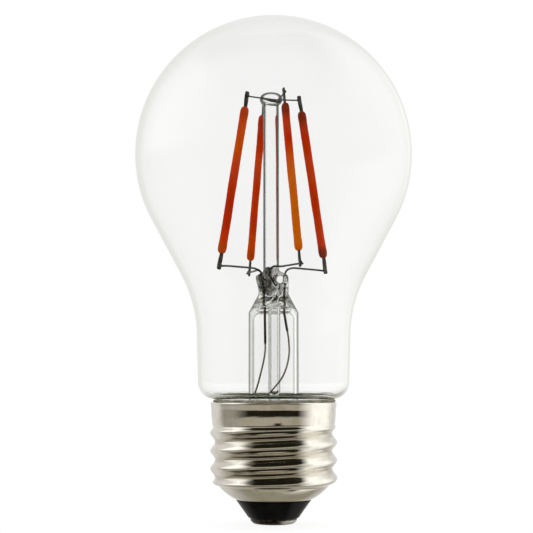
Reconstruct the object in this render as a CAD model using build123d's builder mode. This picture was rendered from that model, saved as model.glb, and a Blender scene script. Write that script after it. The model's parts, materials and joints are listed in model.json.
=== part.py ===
"""Clear glass LED filament light bulb with an E26 screw cap and a radio-controlled driver inside the cap.

Millimetres, +Z up. The origin is the middle of the centre contact's flat underside, on the cap's axis.
The bulb is held by its cap: the glass envelope is above, the driver sits inside the cap, and a glass stem
carries four LED filaments in a square around a central rod.
"""

import os
from math import acos, atan2, cos, degrees, hypot, pi, radians, sin

from build123d import *

os.makedirs("parts", exist_ok=True)

# ---------------------------------------------------------------- glass envelope
BULB_R = 29.0  # outside radius of the round part
BULB_Z = 76.5  # height of its centre
GLASS_WALL = 0.7
NECK_R = 15.93  # outside radius where the waist's curve ends
NECK_TOP_Z = 38.0
NECK_BOTTOM_R = 15.65  # the neck narrows slightly towards the shoulder
WAIST_R = 27.5  # radius of the concave curve between round part and neck
SHOULDER_R = 3.5
SHOULDER_Z = 28.9
COLLAR_GLASS_R = 11.6  # the part of the glass that goes into the cap
COLLAR_GLASS_FILLET = 0.55
GLASS_END_Z = 18.0

# ---------------------------------------------------------------- E26 screw cap
THREAD_PITCH = 3.629  # 7 turns to the inch, right-handed
CREST_R = 13.1  # 26.2 mm over the crests
ROOT_R = 12.1  # 24.2 mm over the roots
CREST_Z = 12.99  # a crest's height on the +X side
THREAD_LOW_Z, THREAD_TOP_Z = 7.5, 20.2  # the rolled band; its ends blend into the cone and the collar
LOW_FADE, TOP_FADE = 1.1, 1.65  # height over which the wave dies out at each end
SHELL_WALL = 0.3
COLLAR_R = 12.8
LIP_R = 13.05
RIM_Z = 24.8
LIP_HEIGHT = 0.75
CONE_TOP_R = 11.2
CONE_MIDDLE = (9.55, 6.0)
SHELL_END_Z = 4.9
SHELL_END_R = 7.8

INSULATOR_TIP_R = 5.15
INSULATOR_TIP_Z = 1.2
INSULATOR_TOP_Z = 8.4
INSULATOR_FLOOR_Z = 6.2
CONTACT_HOLE_R = 1.1
CONTACT_R = 4.8
CONTACT_FLAT_R = 3.4
RIVET_TOP_Z = 3.2
RIVET_R, RIVET_BORE_R = 1.06, 0.75

# ---------------------------------------------------------------- glass stem
FLARE_R = 5.2
FLARE_WALL = 0.8
FLARE_TOP_Z = 42.5
FLARE_BEND_Z = 25.2
FLARE_RIM_R = COLLAR_GLASS_R - GLASS_WALL
DOME_Z = 44.4  # flat underside of the pressed glass, where the exhaust tube meets it
PRESS_TOP_Z = 51.5
PRESS_HALF_WIDTH = 3.15
PRESS_HALF_DEPTH = 1.75
EXHAUST_X = 0.15
EXHAUST_R = 1.25
EXHAUST_BORE_R = 0.8
EXHAUST_TIP_Z = 23.7
BULGE = (1.35, -0.2, 50.3)  # the swelling that the blow hole leaves at the right of the press
BULGE_R = 1.8
BLOW_HOLE = (1.35, -1.3, 50.3)
BLOW_HOLE_R = 1.2
CHANNEL_R = 0.6
ROD_X = -0.5
ROD_R = 1.65
BUTTON_R = 2.4
BUTTON_LOW_Z = 87.3
BUTTON_TOP_Z = 89.8

# ---------------------------------------------------------------- filaments
FILAMENT_COUNT = 4
LOWER_R, LOWER_Z, LOWER_TURN = 12.4, 51.9, 25.3  # where the lower tabs end, and the square's turn there
UPPER_R, UPPER_Z, UPPER_TURN = 5.8, 89.7, 20.5
TAB_WIDTH, TAB_THICK = 0.9, 0.3
TAB_LENGTH = 4.4
COATING_INSET = 3.4  # from a tab's free end to the coating
STRIP_WIDTH, STRIP_THICK = 0.8, 0.4
COATING_WIDTH, COATING_THICK = 1.75, 1.55
COATING_END = 1.5  # length of the rounded ends
CHIP_COUNT = 28
CHIP_LENGTH, CHIP_WIDTH, CHIP_THICK = 0.62, 0.3, 0.12
SUPPORT_WIRE_D = 0.3
ELECTRODE_D = 0.4
WELD_INSET = 0.9  # from a tab's free end to the wire that is welded across it

# ---------------------------------------------------------------- driver
BOARD_R, BOARD_THICK, BOARD_TOP_Z = 10.8, 1.0, 13.2
BOARD_LOW_Z = BOARD_TOP_Z - BOARD_THICK
SLEEVE_R, SLEEVE_WALL = 11.45, 0.15
SLEEVE_LOW_Z, SLEEVE_TOP_Z = 9.3, 16.6
RADIO_Y, RADIO_THICK, RADIO_WIDTH, RADIO_TOP_Z = 1.6, 0.8, 7.6, 23.4
RADIO_TAB_WIDTH = 4.0
CAPACITOR_D, CAPACITOR_LENGTH, CAPACITOR_Y = 5.0, 9.0, 6.2
INDUCTOR_X, INDUCTOR_Y, INDUCTOR_D, INDUCTOR_HEIGHT = 6.6, -1.9, 6.0, 4.5
RESISTOR_D, RESISTOR_LENGTH, RESISTOR_Y, RESISTOR_Z = 2.4, 6.0, -5.5, 10.2
LEAD_D = 0.5
SHELL_LEAD_D = 0.26
TAIL_HOLES = {"left": (-4.6, -4.0), "right": (-2.2, -4.2)}


def keep(piece, name):
    """Labels a finished piece and writes it as its own STEP file."""
    piece.part.label = name
    export_step(piece.part, f"parts/{name}.step")
    solids = piece.part.solids()
    print(f"{name}: {len(solids)} solids, {sum(s.volume for s in solids):.2f} mm3")


def route(points, share=0.42):
    """The radius of each bend of a wire: as large as its shorter neighbouring run allows."""
    radii = []
    for before, here, after in zip(points, points[1:], points[2:]):
        one, two = Vector(*here) - Vector(*before), Vector(*after) - Vector(*here)
        half_turn = radians(one.get_angle(two)) / 2
        radii.append(share * min(one.length, two.length) / max(sin(half_turn) / cos(half_turn), 0.02))
    return radii


def swept_wire(points, diameter):
    """A round wire along straight runs joined by tangent arcs."""
    with BuildPart() as wire:
        with BuildLine() as path:
            FilletPolyline(*points, radius=route(points)) if len(points) > 2 else Line(*points)
        start = path.line
        with BuildSketch(Plane(origin=start @ 0, z_dir=start % 0)):
            Circle(diameter / 2)
        sweep(path=start)
    return wire


# ================================================================ glass envelope
def envelope_outline(inset):
    """The bulb's outline from its crown down to the end of the collar glass, moved in by inset."""
    round_r, waist_r = BULB_R - inset, WAIST_R + inset
    waist_x, waist_z = NECK_R + WAIST_R, NECK_TOP_Z
    reach = hypot(waist_x, waist_z - BULB_Z)
    # the straight flank touches both circles, so its normal leans this far below the horizontal
    lean = atan2(BULB_Z - waist_z, waist_x) - acos((BULB_R + WAIST_R) / reach)
    flank_top = (round_r * cos(lean), BULB_Z - round_r * sin(lean))
    flank_low = (waist_x - waist_r * cos(lean), waist_z + waist_r * sin(lean))
    shoulder_x = NECK_BOTTOM_R - SHOULDER_R
    fillet_z = SHOULDER_Z - SHOULDER_R - COLLAR_GLASS_FILLET
    CenterArc((0, BULB_Z), round_r, 90, -90 - degrees(lean))
    Line(flank_top, flank_low)
    CenterArc((waist_x, waist_z), waist_r, 180 - degrees(lean), degrees(lean))
    Line((NECK_R - inset, NECK_TOP_Z), (NECK_BOTTOM_R - inset, SHOULDER_Z))
    CenterArc((shoulder_x, SHOULDER_Z), SHOULDER_R - inset, 0, -90)
    CenterArc((shoulder_x, fillet_z), COLLAR_GLASS_FILLET + inset, 90, 90)
    Line((COLLAR_GLASS_R - inset, fillet_z), (COLLAR_GLASS_R - inset, GLASS_END_Z))


with BuildPart() as glass_envelope:
    with BuildSketch(Plane.XZ):
        with BuildLine():
            envelope_outline(0)
            envelope_outline(GLASS_WALL)
            Line((0, BULB_Z + BULB_R), (0, BULB_Z + BULB_R - GLASS_WALL))
            Line((COLLAR_GLASS_R, GLASS_END_Z), (COLLAR_GLASS_R - GLASS_WALL, GLASS_END_Z))
        make_face()
    revolve(axis=Axis.Z)
keep(glass_envelope, "glass_envelope")


# ================================================================ wires of the lamp mount
def around(radius, azimuth, z, aside=0.0):
    """A point at a radius and azimuth from the axis, moved aside along the tangent."""
    a = radians(azimuth)
    return (radius * cos(a) - aside * sin(a), radius * sin(a) + aside * cos(a), z)


def filament_azimuth(number, turn):
    """Filaments 1 to 4 stand at the left, the back, the front and the right."""
    return turn + {1: 180, 2: 90, 3: 270, 4: 0}[number]


weld_aside = (TAB_THICK + SUPPORT_WIRE_D) / 2 + 0.07
upper_weld_z = UPPER_Z - WELD_INSET
support_end = UPPER_R + 0.42
support_wires = {}
for name, number, drop in (("upper_bridge_wire_1", 4, 0.25), ("upper_bridge_wire_2", 3, 0.75)):
    azimuth = filament_azimuth(number, UPPER_TURN)
    bridge = [
        around(-support_end, azimuth, upper_weld_z, weld_aside),
        around(-1.7, azimuth, upper_weld_z - drop, weld_aside),
        around(1.7, azimuth, upper_weld_z - drop, weld_aside),
        around(support_end, azimuth, upper_weld_z, weld_aside),
    ]
    support_wires[name] = swept_wire(bridge, SUPPORT_WIRE_D)
    keep(support_wires[name], name)

lower_weld_z = LOWER_Z + WELD_INSET
electrode_end = LOWER_R + 0.3
electrode_aside = (TAB_THICK + ELECTRODE_D) / 2 + 0.02
# each electrode leaves the pressed glass at its own foot and runs out to its filament
electrode_inner = {
    1: [(-4.0, -1.0, 52.6), (-2.75, -0.45, 52.1), (-2.25, -0.35, 50.9), (-2.1, -0.3, 49.0)],
    2: [(-3.3, 2.4, 52.5), (-2.6, 0.85, 52.0), (-2.2, 0.42, 50.9), (-1.75, 0.3, 49.0)],
    3: [(1.5, -2.9, 52.75), (-0.1, -2.4, 52.9), (-0.9, -1.75, 52.1), (-0.7, -1.2, 50.9), (0.6, -0.3, 49.0)],
    4: [(4.0, 1.6, 52.9), (2.7, 0.85, 52.4), (2.2, 0.6, 50.9), (2.1, 0.5, 49.0)],
}
electrodes = {}
for number, inner_points in electrode_inner.items():
    azimuth = filament_azimuth(number, LOWER_TURN)
    outer = [
        around(electrode_end, azimuth, lower_weld_z - 0.25, electrode_aside),
        around(LOWER_R - 1.6, azimuth, lower_weld_z - 0.1, electrode_aside),
    ]
    name = f"lower_electrode_{number}"
    electrodes[name] = swept_wire(outer + inner_points, ELECTRODE_D)
    keep(electrodes[name], name)

# the sealed lead-in wires: a thick sealing wire in the glass, then a thin copper tail down to the driver
SEAL_WIRE_D, TAIL_D = 0.5, 0.36
seal_points = {
    "left": [(-1.85, 0.0, 48.7), (-1.85, -0.5, 46.0), (-1.8, -1.4, 43.4), (-1.75, -1.7, 40.5), (-1.7, -1.8, 36.8)],
    "right": [(2.05, 0.5, 48.7), (2.1, -0.9, 46.4), (2.1, -1.8, 43.8), (2.4, -1.95, 41.5), (2.75, -2.0, 39.4)],
}
tail_points = {
    "left": [
        (-1.97, -1.76, 33.4),
        (-2.55, -1.6, 30.9),
        (-3.2, -1.4, 28.3),
        (-3.85, -1.1, 25.8),
        (-4.2, -2.4, 21.0),
        (*TAIL_HOLES["left"], 16.5),
        (*TAIL_HOLES["left"], BOARD_LOW_Z - 0.5),
    ],
    "right": [
        (3.2, -1.95, 35.0),
        (2.7, -2.4, 32.2),
        (1.85, -2.8, 30.0),
        (0.55, -2.95, 28.2),
        (-0.6, -2.95, 26.6),
        (-1.6, -3.0, 24.6),
        (-2.2, -3.4, 21.0),
        (*TAIL_HOLES["right"], 16.5),
        (*TAIL_HOLES["right"], BOARD_LOW_Z - 0.5),
    ],
}
seals, tails = {}, {}
for side in ("left", "right"):
    seals[side] = swept_wire(seal_points[side], SEAL_WIRE_D)
    # the tail is butt-welded to the sealing wire, so it starts in line with it
    last, joint = (Vector(*point) for point in seal_points[side][-2:])
    straight_on = joint + (joint - last).normalized() * 1.4
    tails[side] = swept_wire([tuple(joint), tuple(straight_on), *tail_points[side]], TAIL_D)
    keep(seals[side], f"seal_wire_{side}")
    keep(tails[side], f"lead_tail_{side}")

# ================================================================ glass stem
with BuildPart() as flare_tube:
    with BuildSketch(Plane.XZ):
        with BuildLine():
            inner_r = FLARE_R - FLARE_WALL
            Line((FLARE_R, FLARE_TOP_Z), (FLARE_R, FLARE_BEND_Z))
            flare_out = TangentArc((FLARE_R, FLARE_BEND_Z), (FLARE_RIM_R, GLASS_END_Z + 0.9), tangent=(0, -1))
            Line(flare_out @ 1, (FLARE_RIM_R, GLASS_END_Z))
            low = Line((FLARE_RIM_R, GLASS_END_Z), (FLARE_RIM_R - 0.5, GLASS_END_Z))
            TangentArc((inner_r, FLARE_BEND_Z), low @ 1, tangent=(0, -1))
            Line((inner_r, FLARE_BEND_Z), (inner_r, FLARE_TOP_Z))
            Line((inner_r, FLARE_TOP_Z), (FLARE_R, FLARE_TOP_Z))
        make_face()
    revolve(axis=Axis.Z)
keep(flare_tube, "flare_tube")

with BuildPart() as stem_press:
    with BuildSketch(Plane.XY.offset(FLARE_TOP_Z)):
        Circle(FLARE_R)
    with BuildSketch(Plane.XY.offset(FLARE_TOP_Z + 1.6)):
        Ellipse(FLARE_R - 0.35, FLARE_R - 1.0)
    with BuildSketch(Plane.XY.offset(46.6)):
        Ellipse(PRESS_HALF_WIDTH + 0.15, PRESS_HALF_DEPTH + 0.25)
    with BuildSketch(Plane.XY.offset(49.0)):
        Ellipse(PRESS_HALF_WIDTH - 0.15, PRESS_HALF_DEPTH)
    with BuildSketch(Plane.XY.offset(PRESS_TOP_Z)):
        Ellipse(PRESS_HALF_WIDTH, PRESS_HALF_DEPTH)
    loft()
    fillet(stem_press.faces().sort_by(Axis.Z)[-1].edges(), 0.5)
    # the hollow under the press, above the flare tube's bore
    with BuildSketch(Plane.XZ):
        with BuildLine():
            Polyline((0, DOME_Z), (0, FLARE_TOP_Z), (FLARE_R - FLARE_WALL, FLARE_TOP_Z))
            dome = Bezier((FLARE_R - FLARE_WALL, FLARE_TOP_Z), (FLARE_R - FLARE_WALL - 0.3, DOME_Z - 0.2), (2.6, DOME_Z))
            Line(dome @ 1, (0, DOME_Z))
        make_face()
    revolve(axis=Axis.Z, mode=Mode.SUBTRACT)
    with Locations(BULGE):
        Sphere(BULGE_R)
    # the blow hole: a channel from the exhaust tube to a round opening in the front of the swelling
    channel = Vector(*BLOW_HOLE) - Vector(EXHAUST_X, 0, DOME_Z - 0.5)
    with BuildSketch(Plane(origin=(EXHAUST_X, 0, DOME_Z - 0.5), z_dir=channel)):
        Circle(CHANNEL_R)
    extrude(amount=channel.length, mode=Mode.SUBTRACT)
    with Locations(BLOW_HOLE):
        Sphere(BLOW_HOLE_R, mode=Mode.SUBTRACT)
    for wire in [*electrodes.values(), *seals.values()]:
        add(wire.part, mode=Mode.SUBTRACT)
    # room for the foot of the rod, which stands on the press beside the swelling
    with BuildSketch(Plane.XY.offset(PRESS_TOP_Z)):
        with Locations((ROD_X, 0)):
            Circle(ROD_R)
    extrude(amount=2 * BULGE_R, mode=Mode.SUBTRACT)
keep(stem_press, "stem_press")

with BuildPart() as exhaust_tube:
    with BuildSketch(Plane.XZ.move(Location((EXHAUST_X, 0, 0)))):
        with BuildLine():
            wall = EXHAUST_R - EXHAUST_BORE_R
            Line((EXHAUST_BORE_R, DOME_Z), (EXHAUST_R, DOME_Z))
            Line((EXHAUST_R, DOME_Z), (EXHAUST_R, EXHAUST_TIP_Z + 2.4))
            outside = Bezier((EXHAUST_R, EXHAUST_TIP_Z + 2.4), (EXHAUST_R, EXHAUST_TIP_Z + 0.5), (0, EXHAUST_TIP_Z))
            Line((0, EXHAUST_TIP_Z), (0, EXHAUST_TIP_Z + wall + 0.6))
            Bezier((0, EXHAUST_TIP_Z + wall + 0.6), (EXHAUST_BORE_R, EXHAUST_TIP_Z + 1.6), (EXHAUST_BORE_R, EXHAUST_TIP_Z + 3))
            Line((EXHAUST_BORE_R, EXHAUST_TIP_Z + 3), (EXHAUST_BORE_R, DOME_Z))
        make_face()
    revolve(axis=Axis((EXHAUST_X, 0, 0), (0, 0, 1)))
keep(exhaust_tube, "exhaust_tube")

with BuildPart() as stem_rod:
    with BuildSketch(Plane.XY.offset(PRESS_TOP_Z)):
        with Locations((ROD_X, 0)):
            Circle(ROD_R)
    extrude(amount=BUTTON_LOW_Z - PRESS_TOP_Z)
    for wire in electrodes.values():
        add(wire.part, mode=Mode.SUBTRACT)
keep(stem_rod, "stem_rod")

with BuildPart() as top_button:
    with BuildSketch(Plane.XZ.move(Location((ROD_X, 0, 0)))):
        with BuildLine():
            Line((0, BUTTON_LOW_Z), (ROD_R, BUTTON_LOW_Z))
            Bezier((ROD_R, BUTTON_LOW_Z), (BUTTON_R, BUTTON_LOW_Z), (BUTTON_R, BUTTON_LOW_Z + 0.9))
            Bezier((BUTTON_R, BUTTON_LOW_Z + 0.9), (BUTTON_R, BUTTON_TOP_Z), (ROD_R - 0.2, BUTTON_TOP_Z))
            Line((ROD_R - 0.2, BUTTON_TOP_Z), (0, BUTTON_TOP_Z))
            Line((0, BUTTON_TOP_Z), (0, BUTTON_LOW_Z))
        make_face()
    revolve(axis=Axis((ROD_X, 0, 0), (0, 0, 1)))
    for wire in support_wires.values():
        add(wire.part, mode=Mode.SUBTRACT)
keep(top_button, "top_button")


# ================================================================ LED filaments
def filament_plane(number):
    """A plane at the filament's lower end: z along it, x away from the bulb's axis, across the strip's width."""
    low = Vector(*around(LOWER_R, filament_azimuth(number, LOWER_TURN), LOWER_Z))
    high = Vector(*around(UPPER_R, filament_azimuth(number, UPPER_TURN), UPPER_Z))
    outward = Vector(low.X, low.Y, 0).normalized()
    along = (high - low).normalized()
    across = outward - along * outward.dot(along)
    return Plane(origin=low, x_dir=across, z_dir=along), (high - low).length


chip_y = (STRIP_THICK + CHIP_THICK) / 2
for number in range(1, FILAMENT_COUNT + 1):
    plane, length = filament_plane(number)
    coat_low, coat_top = COATING_INSET, length - COATING_INSET
    strip_low, strip_top = TAB_LENGTH, length - TAB_LENGTH
    chip_low, chip_top = strip_low + 1.1, strip_top - 1.1
    chip_pitch = (chip_top - chip_low) / (CHIP_COUNT - 1)

    with BuildPart() as substrate:
        with BuildSketch(plane.offset(strip_low)):
            Rectangle(STRIP_WIDTH, STRIP_THICK)
        extrude(amount=strip_top - strip_low)
    keep(substrate, f"filament_{number}_substrate")

    with BuildPart() as end_tabs:
        with BuildSketch(plane, plane.offset(length - TAB_LENGTH)):
            Rectangle(TAB_WIDTH, TAB_THICK)
        extrude(amount=TAB_LENGTH)
    keep(end_tabs, f"filament_{number}_end_tabs")

    with BuildPart() as chips:
        starts = [chip_low + n * chip_pitch - CHIP_LENGTH / 2 for n in range(CHIP_COUNT)]
        with BuildSketch(*[plane.offset(start) for start in starts]):
            with Locations((0, chip_y)):
                Rectangle(CHIP_WIDTH, CHIP_THICK)
        extrude(amount=CHIP_LENGTH)
    keep(chips, f"filament_{number}_chips")

    with BuildPart() as coating:
        sections = (
            (coat_low, 0.66),
            (coat_low + COATING_END / 2, 0.98),
            (coat_low + COATING_END, 1.04),
            (coat_low + 2.5 * COATING_END, 0.97),
            (coat_top - 2.5 * COATING_END, 0.97),
            (coat_top - COATING_END, 1.04),
            (coat_top - COATING_END / 2, 0.98),
            (coat_top, 0.66),
        )
        for distance, share in sections:
            with BuildSketch(plane.offset(distance)):
                Ellipse(share * COATING_WIDTH / 2, share * COATING_THICK / 2)
        loft(ruled=True)
        for core in (substrate, end_tabs, chips):
            add(core.part, mode=Mode.SUBTRACT)
    keep(coating, f"filament_{number}_coating")


# ================================================================ screw cap
def ease(value, start, end):
    """0 at start, 1 at end, with a level beginning and finish."""
    share = min(max((value - start) / (end - start), 0), 1)
    return share * share * (3 - 2 * share)


def thread_radius(turn, z):
    """The rolled shell's outside radius at a part of a turn (from +X) and a height."""
    middle, swing = (CREST_R + ROOT_R) / 2, (CREST_R - ROOT_R) / 2
    radius = middle + swing * cos(2 * pi * ((z - CREST_Z) / THREAD_PITCH - turn))
    radius += (COLLAR_R - radius) * ease(z, THREAD_TOP_Z - TOP_FADE, THREAD_TOP_Z - 0.1)
    radius += (CONE_TOP_R - radius) * ease(z, THREAD_LOW_Z + LOW_FADE, THREAD_LOW_Z + 0.05)
    return radius


def thread_form(inset, points=36, step=0.305):
    """The rolled band as a solid form: level outlines of the helical wave, joined smoothly."""
    levels = round((THREAD_TOP_Z - THREAD_LOW_Z) / step)
    with BuildPart() as form:
        for level in range(levels + 1):
            z = THREAD_LOW_Z + (THREAD_TOP_Z - THREAD_LOW_Z) * level / levels
            outline = []
            for k in range(points):
                radius = thread_radius(k / points, z) - inset
                outline.append((radius * cos(2 * pi * k / points), radius * sin(2 * pi * k / points), 0))
            with BuildSketch(Plane.XY.offset(z)):
                with BuildLine():
                    spans = [k / points for k in range(points + 1)]
                    add(Edge.make_spline(outline, periodic=True, parameters=spans))
                make_face()
        loft()
    return form


band_outside = thread_form(0)
band_inside = thread_form(SHELL_WALL)
with BuildPart() as cap_shell:
    add(band_outside.part)
    add(band_inside.part, mode=Mode.SUBTRACT)
    # the plain collar with its rolled lip, a hair wider than the band's end so the two meet cleanly
    bore_r = COLLAR_R - SHELL_WALL - 0.04
    with BuildSketch(Plane.XZ):
        with BuildLine():
            Line((bore_r, THREAD_TOP_Z), (COLLAR_R + 0.04, THREAD_TOP_Z))
            Line((COLLAR_R + 0.04, THREAD_TOP_Z), (COLLAR_R + 0.04, RIM_Z - LIP_HEIGHT))
            ThreePointArc(
                (COLLAR_R + 0.04, RIM_Z - LIP_HEIGHT),
                (LIP_R, RIM_Z - LIP_HEIGHT / 2),
                (COLLAR_R - 0.02, RIM_Z),
            )
            Line((COLLAR_R - 0.02, RIM_Z), (bore_r, RIM_Z))
            Line((bore_r, RIM_Z), (bore_r, THREAD_TOP_Z))
        make_face()
    revolve(axis=Axis.Z)
    # the cone down to the insulator
    with BuildSketch(Plane.XZ):
        with BuildLine():
            Line((CONE_TOP_R - SHELL_WALL - 0.04, THREAD_LOW_Z), (CONE_TOP_R + 0.04, THREAD_LOW_Z))
            ThreePointArc((CONE_TOP_R + 0.04, THREAD_LOW_Z), CONE_MIDDLE, (SHELL_END_R, SHELL_END_Z))
            Line((SHELL_END_R, SHELL_END_Z), (SHELL_END_R - 0.35, SHELL_END_Z))
            Line((SHELL_END_R - 0.35, SHELL_END_Z), (SHELL_END_R - 0.35, SHELL_END_Z + 0.36))
            ThreePointArc(
                (SHELL_END_R - 0.35, SHELL_END_Z + 0.36),
                (CONE_MIDDLE[0] - 0.25, CONE_MIDDLE[1] + 0.32),
                (CONE_TOP_R - SHELL_WALL - 0.04, THREAD_LOW_Z),
            )
        make_face()
    revolve(axis=Axis.Z)
keep(cap_shell, "cap_shell")

with BuildPart() as basing_cement:
    with BuildSketch(Plane.XY.offset(THREAD_TOP_Z + 0.3)):
        Circle(bore_r - 0.01)
        Circle(COLLAR_GLASS_R + 0.01, mode=Mode.SUBTRACT)
    extrude(amount=RIM_Z - 0.5 - THREAD_TOP_Z)
keep(basing_cement, "basing_cement")

with BuildPart() as cap_insulator:
    with BuildSketch(Plane.XZ):
        with BuildLine():
            Polyline(
                (CONTACT_HOLE_R, INSULATOR_FLOOR_Z),
                (CONTACT_HOLE_R, INSULATOR_TIP_Z),
                (INSULATOR_TIP_R, INSULATOR_TIP_Z),
                (SHELL_END_R - 0.04, SHELL_END_Z - 0.04),
                (SHELL_END_R - 0.39, SHELL_END_Z - 0.04),
                (SHELL_END_R - 0.39, SHELL_END_Z + 0.4),
            )
            ThreePointArc(
                (SHELL_END_R - 0.39, SHELL_END_Z + 0.4),
                (CONE_MIDDLE[0] - 0.29, CONE_MIDDLE[1] + 0.36),
                (CONE_TOP_R - SHELL_WALL - 0.08, THREAD_LOW_Z + 0.04),
            )
            Polyline(
                (CONE_TOP_R - SHELL_WALL - 0.08, THREAD_LOW_Z + 0.04),
                (CONE_TOP_R - SHELL_WALL - 0.08, INSULATOR_TOP_Z),
                (10.4, INSULATOR_TOP_Z),
                (6.6, INSULATOR_FLOOR_Z),
                (CONTACT_HOLE_R, INSULATOR_FLOOR_Z),
            )
        make_face()
    revolve(axis=Axis.Z)
keep(cap_insulator, "cap_insulator")

with BuildPart() as centre_contact:
    with BuildSketch(Plane.XZ):
        with BuildLine():
            Line((0, 0), (CONTACT_FLAT_R, 0))
            ThreePointArc((CONTACT_FLAT_R, 0), (CONTACT_R - 0.36, 0.4), (CONTACT_R, INSULATOR_TIP_Z - 0.02))
            Polyline(
                (CONTACT_R, INSULATOR_TIP_Z - 0.02),
                (RIVET_R, INSULATOR_TIP_Z - 0.02),
                (RIVET_R, RIVET_TOP_Z),
                (RIVET_BORE_R, RIVET_TOP_Z),
                (RIVET_BORE_R, 0.5),
                (0, 0.5),
                (0, 0),
            )
        make_face()
    revolve(axis=Axis.Z)
keep(centre_contact, "centre_contact")

# ================================================================ driver inside the cap
with BuildPart() as insulating_sleeve:
    with BuildSketch(Plane.XY.offset(SLEEVE_LOW_Z)):
        Circle(SLEEVE_R)
        Circle(SLEEVE_R - SLEEVE_WALL, mode=Mode.SUBTRACT)
    extrude(amount=SLEEVE_TOP_Z - SLEEVE_LOW_Z)
keep(insulating_sleeve, "insulating_sleeve")

# the mains lead: board to fusible resistor, then on to the centre contact
contact_hole = (RESISTOR_LENGTH / 2 + 2.2, RESISTOR_Y)
resistor_end = RESISTOR_LENGTH / 2
contact_runs = [
    swept_wire(
        [
            (*contact_hole, BOARD_TOP_Z + 0.4),
            (*contact_hole, RESISTOR_Z),
            (resistor_end, RESISTOR_Y, RESISTOR_Z),
        ],
        LEAD_D,
    ),
    swept_wire(
        [
            (-resistor_end, RESISTOR_Y, RESISTOR_Z),
            (-resistor_end - 1.5, RESISTOR_Y, RESISTOR_Z),
            (-resistor_end - 0.6, -2.6, 9.0),
            (0, 0, 8.4),
            (0, 0, 0.9),
        ],
        LEAD_D,
    ),
]
with BuildPart() as contact_lead:
    for run in contact_runs:
        add(run.part)
keep(contact_lead, "contact_lead")

with BuildPart() as fusible_resistor:
    with BuildSketch(Plane.XY.move(Location((0, RESISTOR_Y, RESISTOR_Z)))):
        with BuildLine():
            bulge, waist = RESISTOR_D / 2, RESISTOR_D / 2 - 0.2
            Line((-resistor_end, 0), (-resistor_end, waist - 0.3))
            Line((-resistor_end, waist - 0.3), (-resistor_end + 0.4, bulge))
            Line((-resistor_end + 0.4, bulge), (-resistor_end + 1.3, bulge))
            Line((-resistor_end + 1.3, bulge), (-resistor_end + 1.7, waist))
            Line((-resistor_end + 1.7, waist), (resistor_end - 1.7, waist))
            Line((resistor_end - 1.7, waist), (resistor_end - 1.3, bulge))
            Line((resistor_end - 1.3, bulge), (resistor_end - 0.4, bulge))
            Line((resistor_end - 0.4, bulge), (resistor_end, waist - 0.3))
            Line((resistor_end, waist - 0.3), (resistor_end, 0))
            Line((resistor_end, 0), (-resistor_end, 0))
        make_face()
    revolve(axis=Axis((0, RESISTOR_Y, RESISTOR_Z), (1, 0, 0)))
keep(fusible_resistor, "fusible_resistor")

with BuildPart() as contact_solder:
    with BuildSketch(Plane.XY.offset(0.52)):
        Circle(RIVET_BORE_R - 0.01)
    extrude(amount=RIVET_TOP_Z - 0.9)
    add(contact_lead.part, mode=Mode.SUBTRACT)
keep(contact_solder, "contact_solder")

# the shell lead comes up from the board, over the sleeve, and is pinched between sleeve and shell
shell_lead_r = SLEEVE_R + SHELL_LEAD_D / 2 + 0.03
shell_lead = swept_wire(
    [
        (-10.0, 0, BOARD_LOW_Z - 0.4),
        (-10.0, 0, SLEEVE_TOP_Z - 0.3),
        (-10.6, 0, SLEEVE_TOP_Z + 0.5),
        (-shell_lead_r, 0, SLEEVE_TOP_Z + 0.5),
        (-shell_lead_r, 0, 10.0),
    ],
    SHELL_LEAD_D,
)
keep(shell_lead, "shell_lead")

# components with round bodies
can_r = CAPACITOR_D / 2
can_z = BOARD_TOP_Z + 0.1 + can_r
with BuildPart() as bulk_capacitor:
    with BuildSketch(Plane.XY.move(Location((0, CAPACITOR_Y, can_z)))):
        with BuildLine():
            half = CAPACITOR_LENGTH / 2
            Polyline(
                (-half, 0),
                (-half, can_r - 0.4),
                (-half + 0.4, can_r),
                (half - 1.8, can_r),
                (half - 1.5, can_r - 0.35),
                (half - 1.2, can_r),
                (half - 0.3, can_r),
                (half, can_r - 0.3),
                (half, 0),
                (-half, 0),
            )
        make_face()
    revolve(axis=Axis((0, CAPACITOR_Y, can_z), (1, 0, 0)))
keep(bulk_capacitor, "bulk_capacitor")

flange = 0.8
with BuildPart() as inductor_core:
    for low, radius, height in (
        (0, INDUCTOR_D / 2, flange),
        (flange, 1.3, INDUCTOR_HEIGHT - 2 * flange),
        (INDUCTOR_HEIGHT - flange, INDUCTOR_D / 2, flange),
    ):
        with BuildSketch(Plane.XY.offset(BOARD_TOP_Z + low)):
            with Locations((INDUCTOR_X, INDUCTOR_Y)):
                Circle(radius)
        extrude(amount=height)
keep(inductor_core, "inductor_core")

with BuildPart() as inductor_winding:
    with BuildSketch(Plane.XY.offset(BOARD_TOP_Z + flange + 0.02)):
        with Locations((INDUCTOR_X, INDUCTOR_Y)):
            Circle(INDUCTOR_D / 2 - 0.35)
            Circle(1.32, mode=Mode.SUBTRACT)
    extrude(amount=INDUCTOR_HEIGHT - 2 * flange - 0.04)
keep(inductor_winding, "inductor_winding")

# the capacitor's two legs bend down into the board
leg_x = CAPACITOR_LENGTH / 2
capacitor_legs = {}
for side, leg_y in (("near", CAPACITOR_Y - 1), ("far", CAPACITOR_Y + 1)):
    capacitor_legs[side] = swept_wire(
        [(leg_x, leg_y, can_z), (leg_x + 1.1, leg_y, can_z), (leg_x + 1.1, leg_y, BOARD_LOW_Z - 0.4)], 0.4
    )
with BuildPart() as component_legs:
    for leg in capacitor_legs.values():
        add(leg.part)
keep(component_legs, "component_legs")

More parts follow.
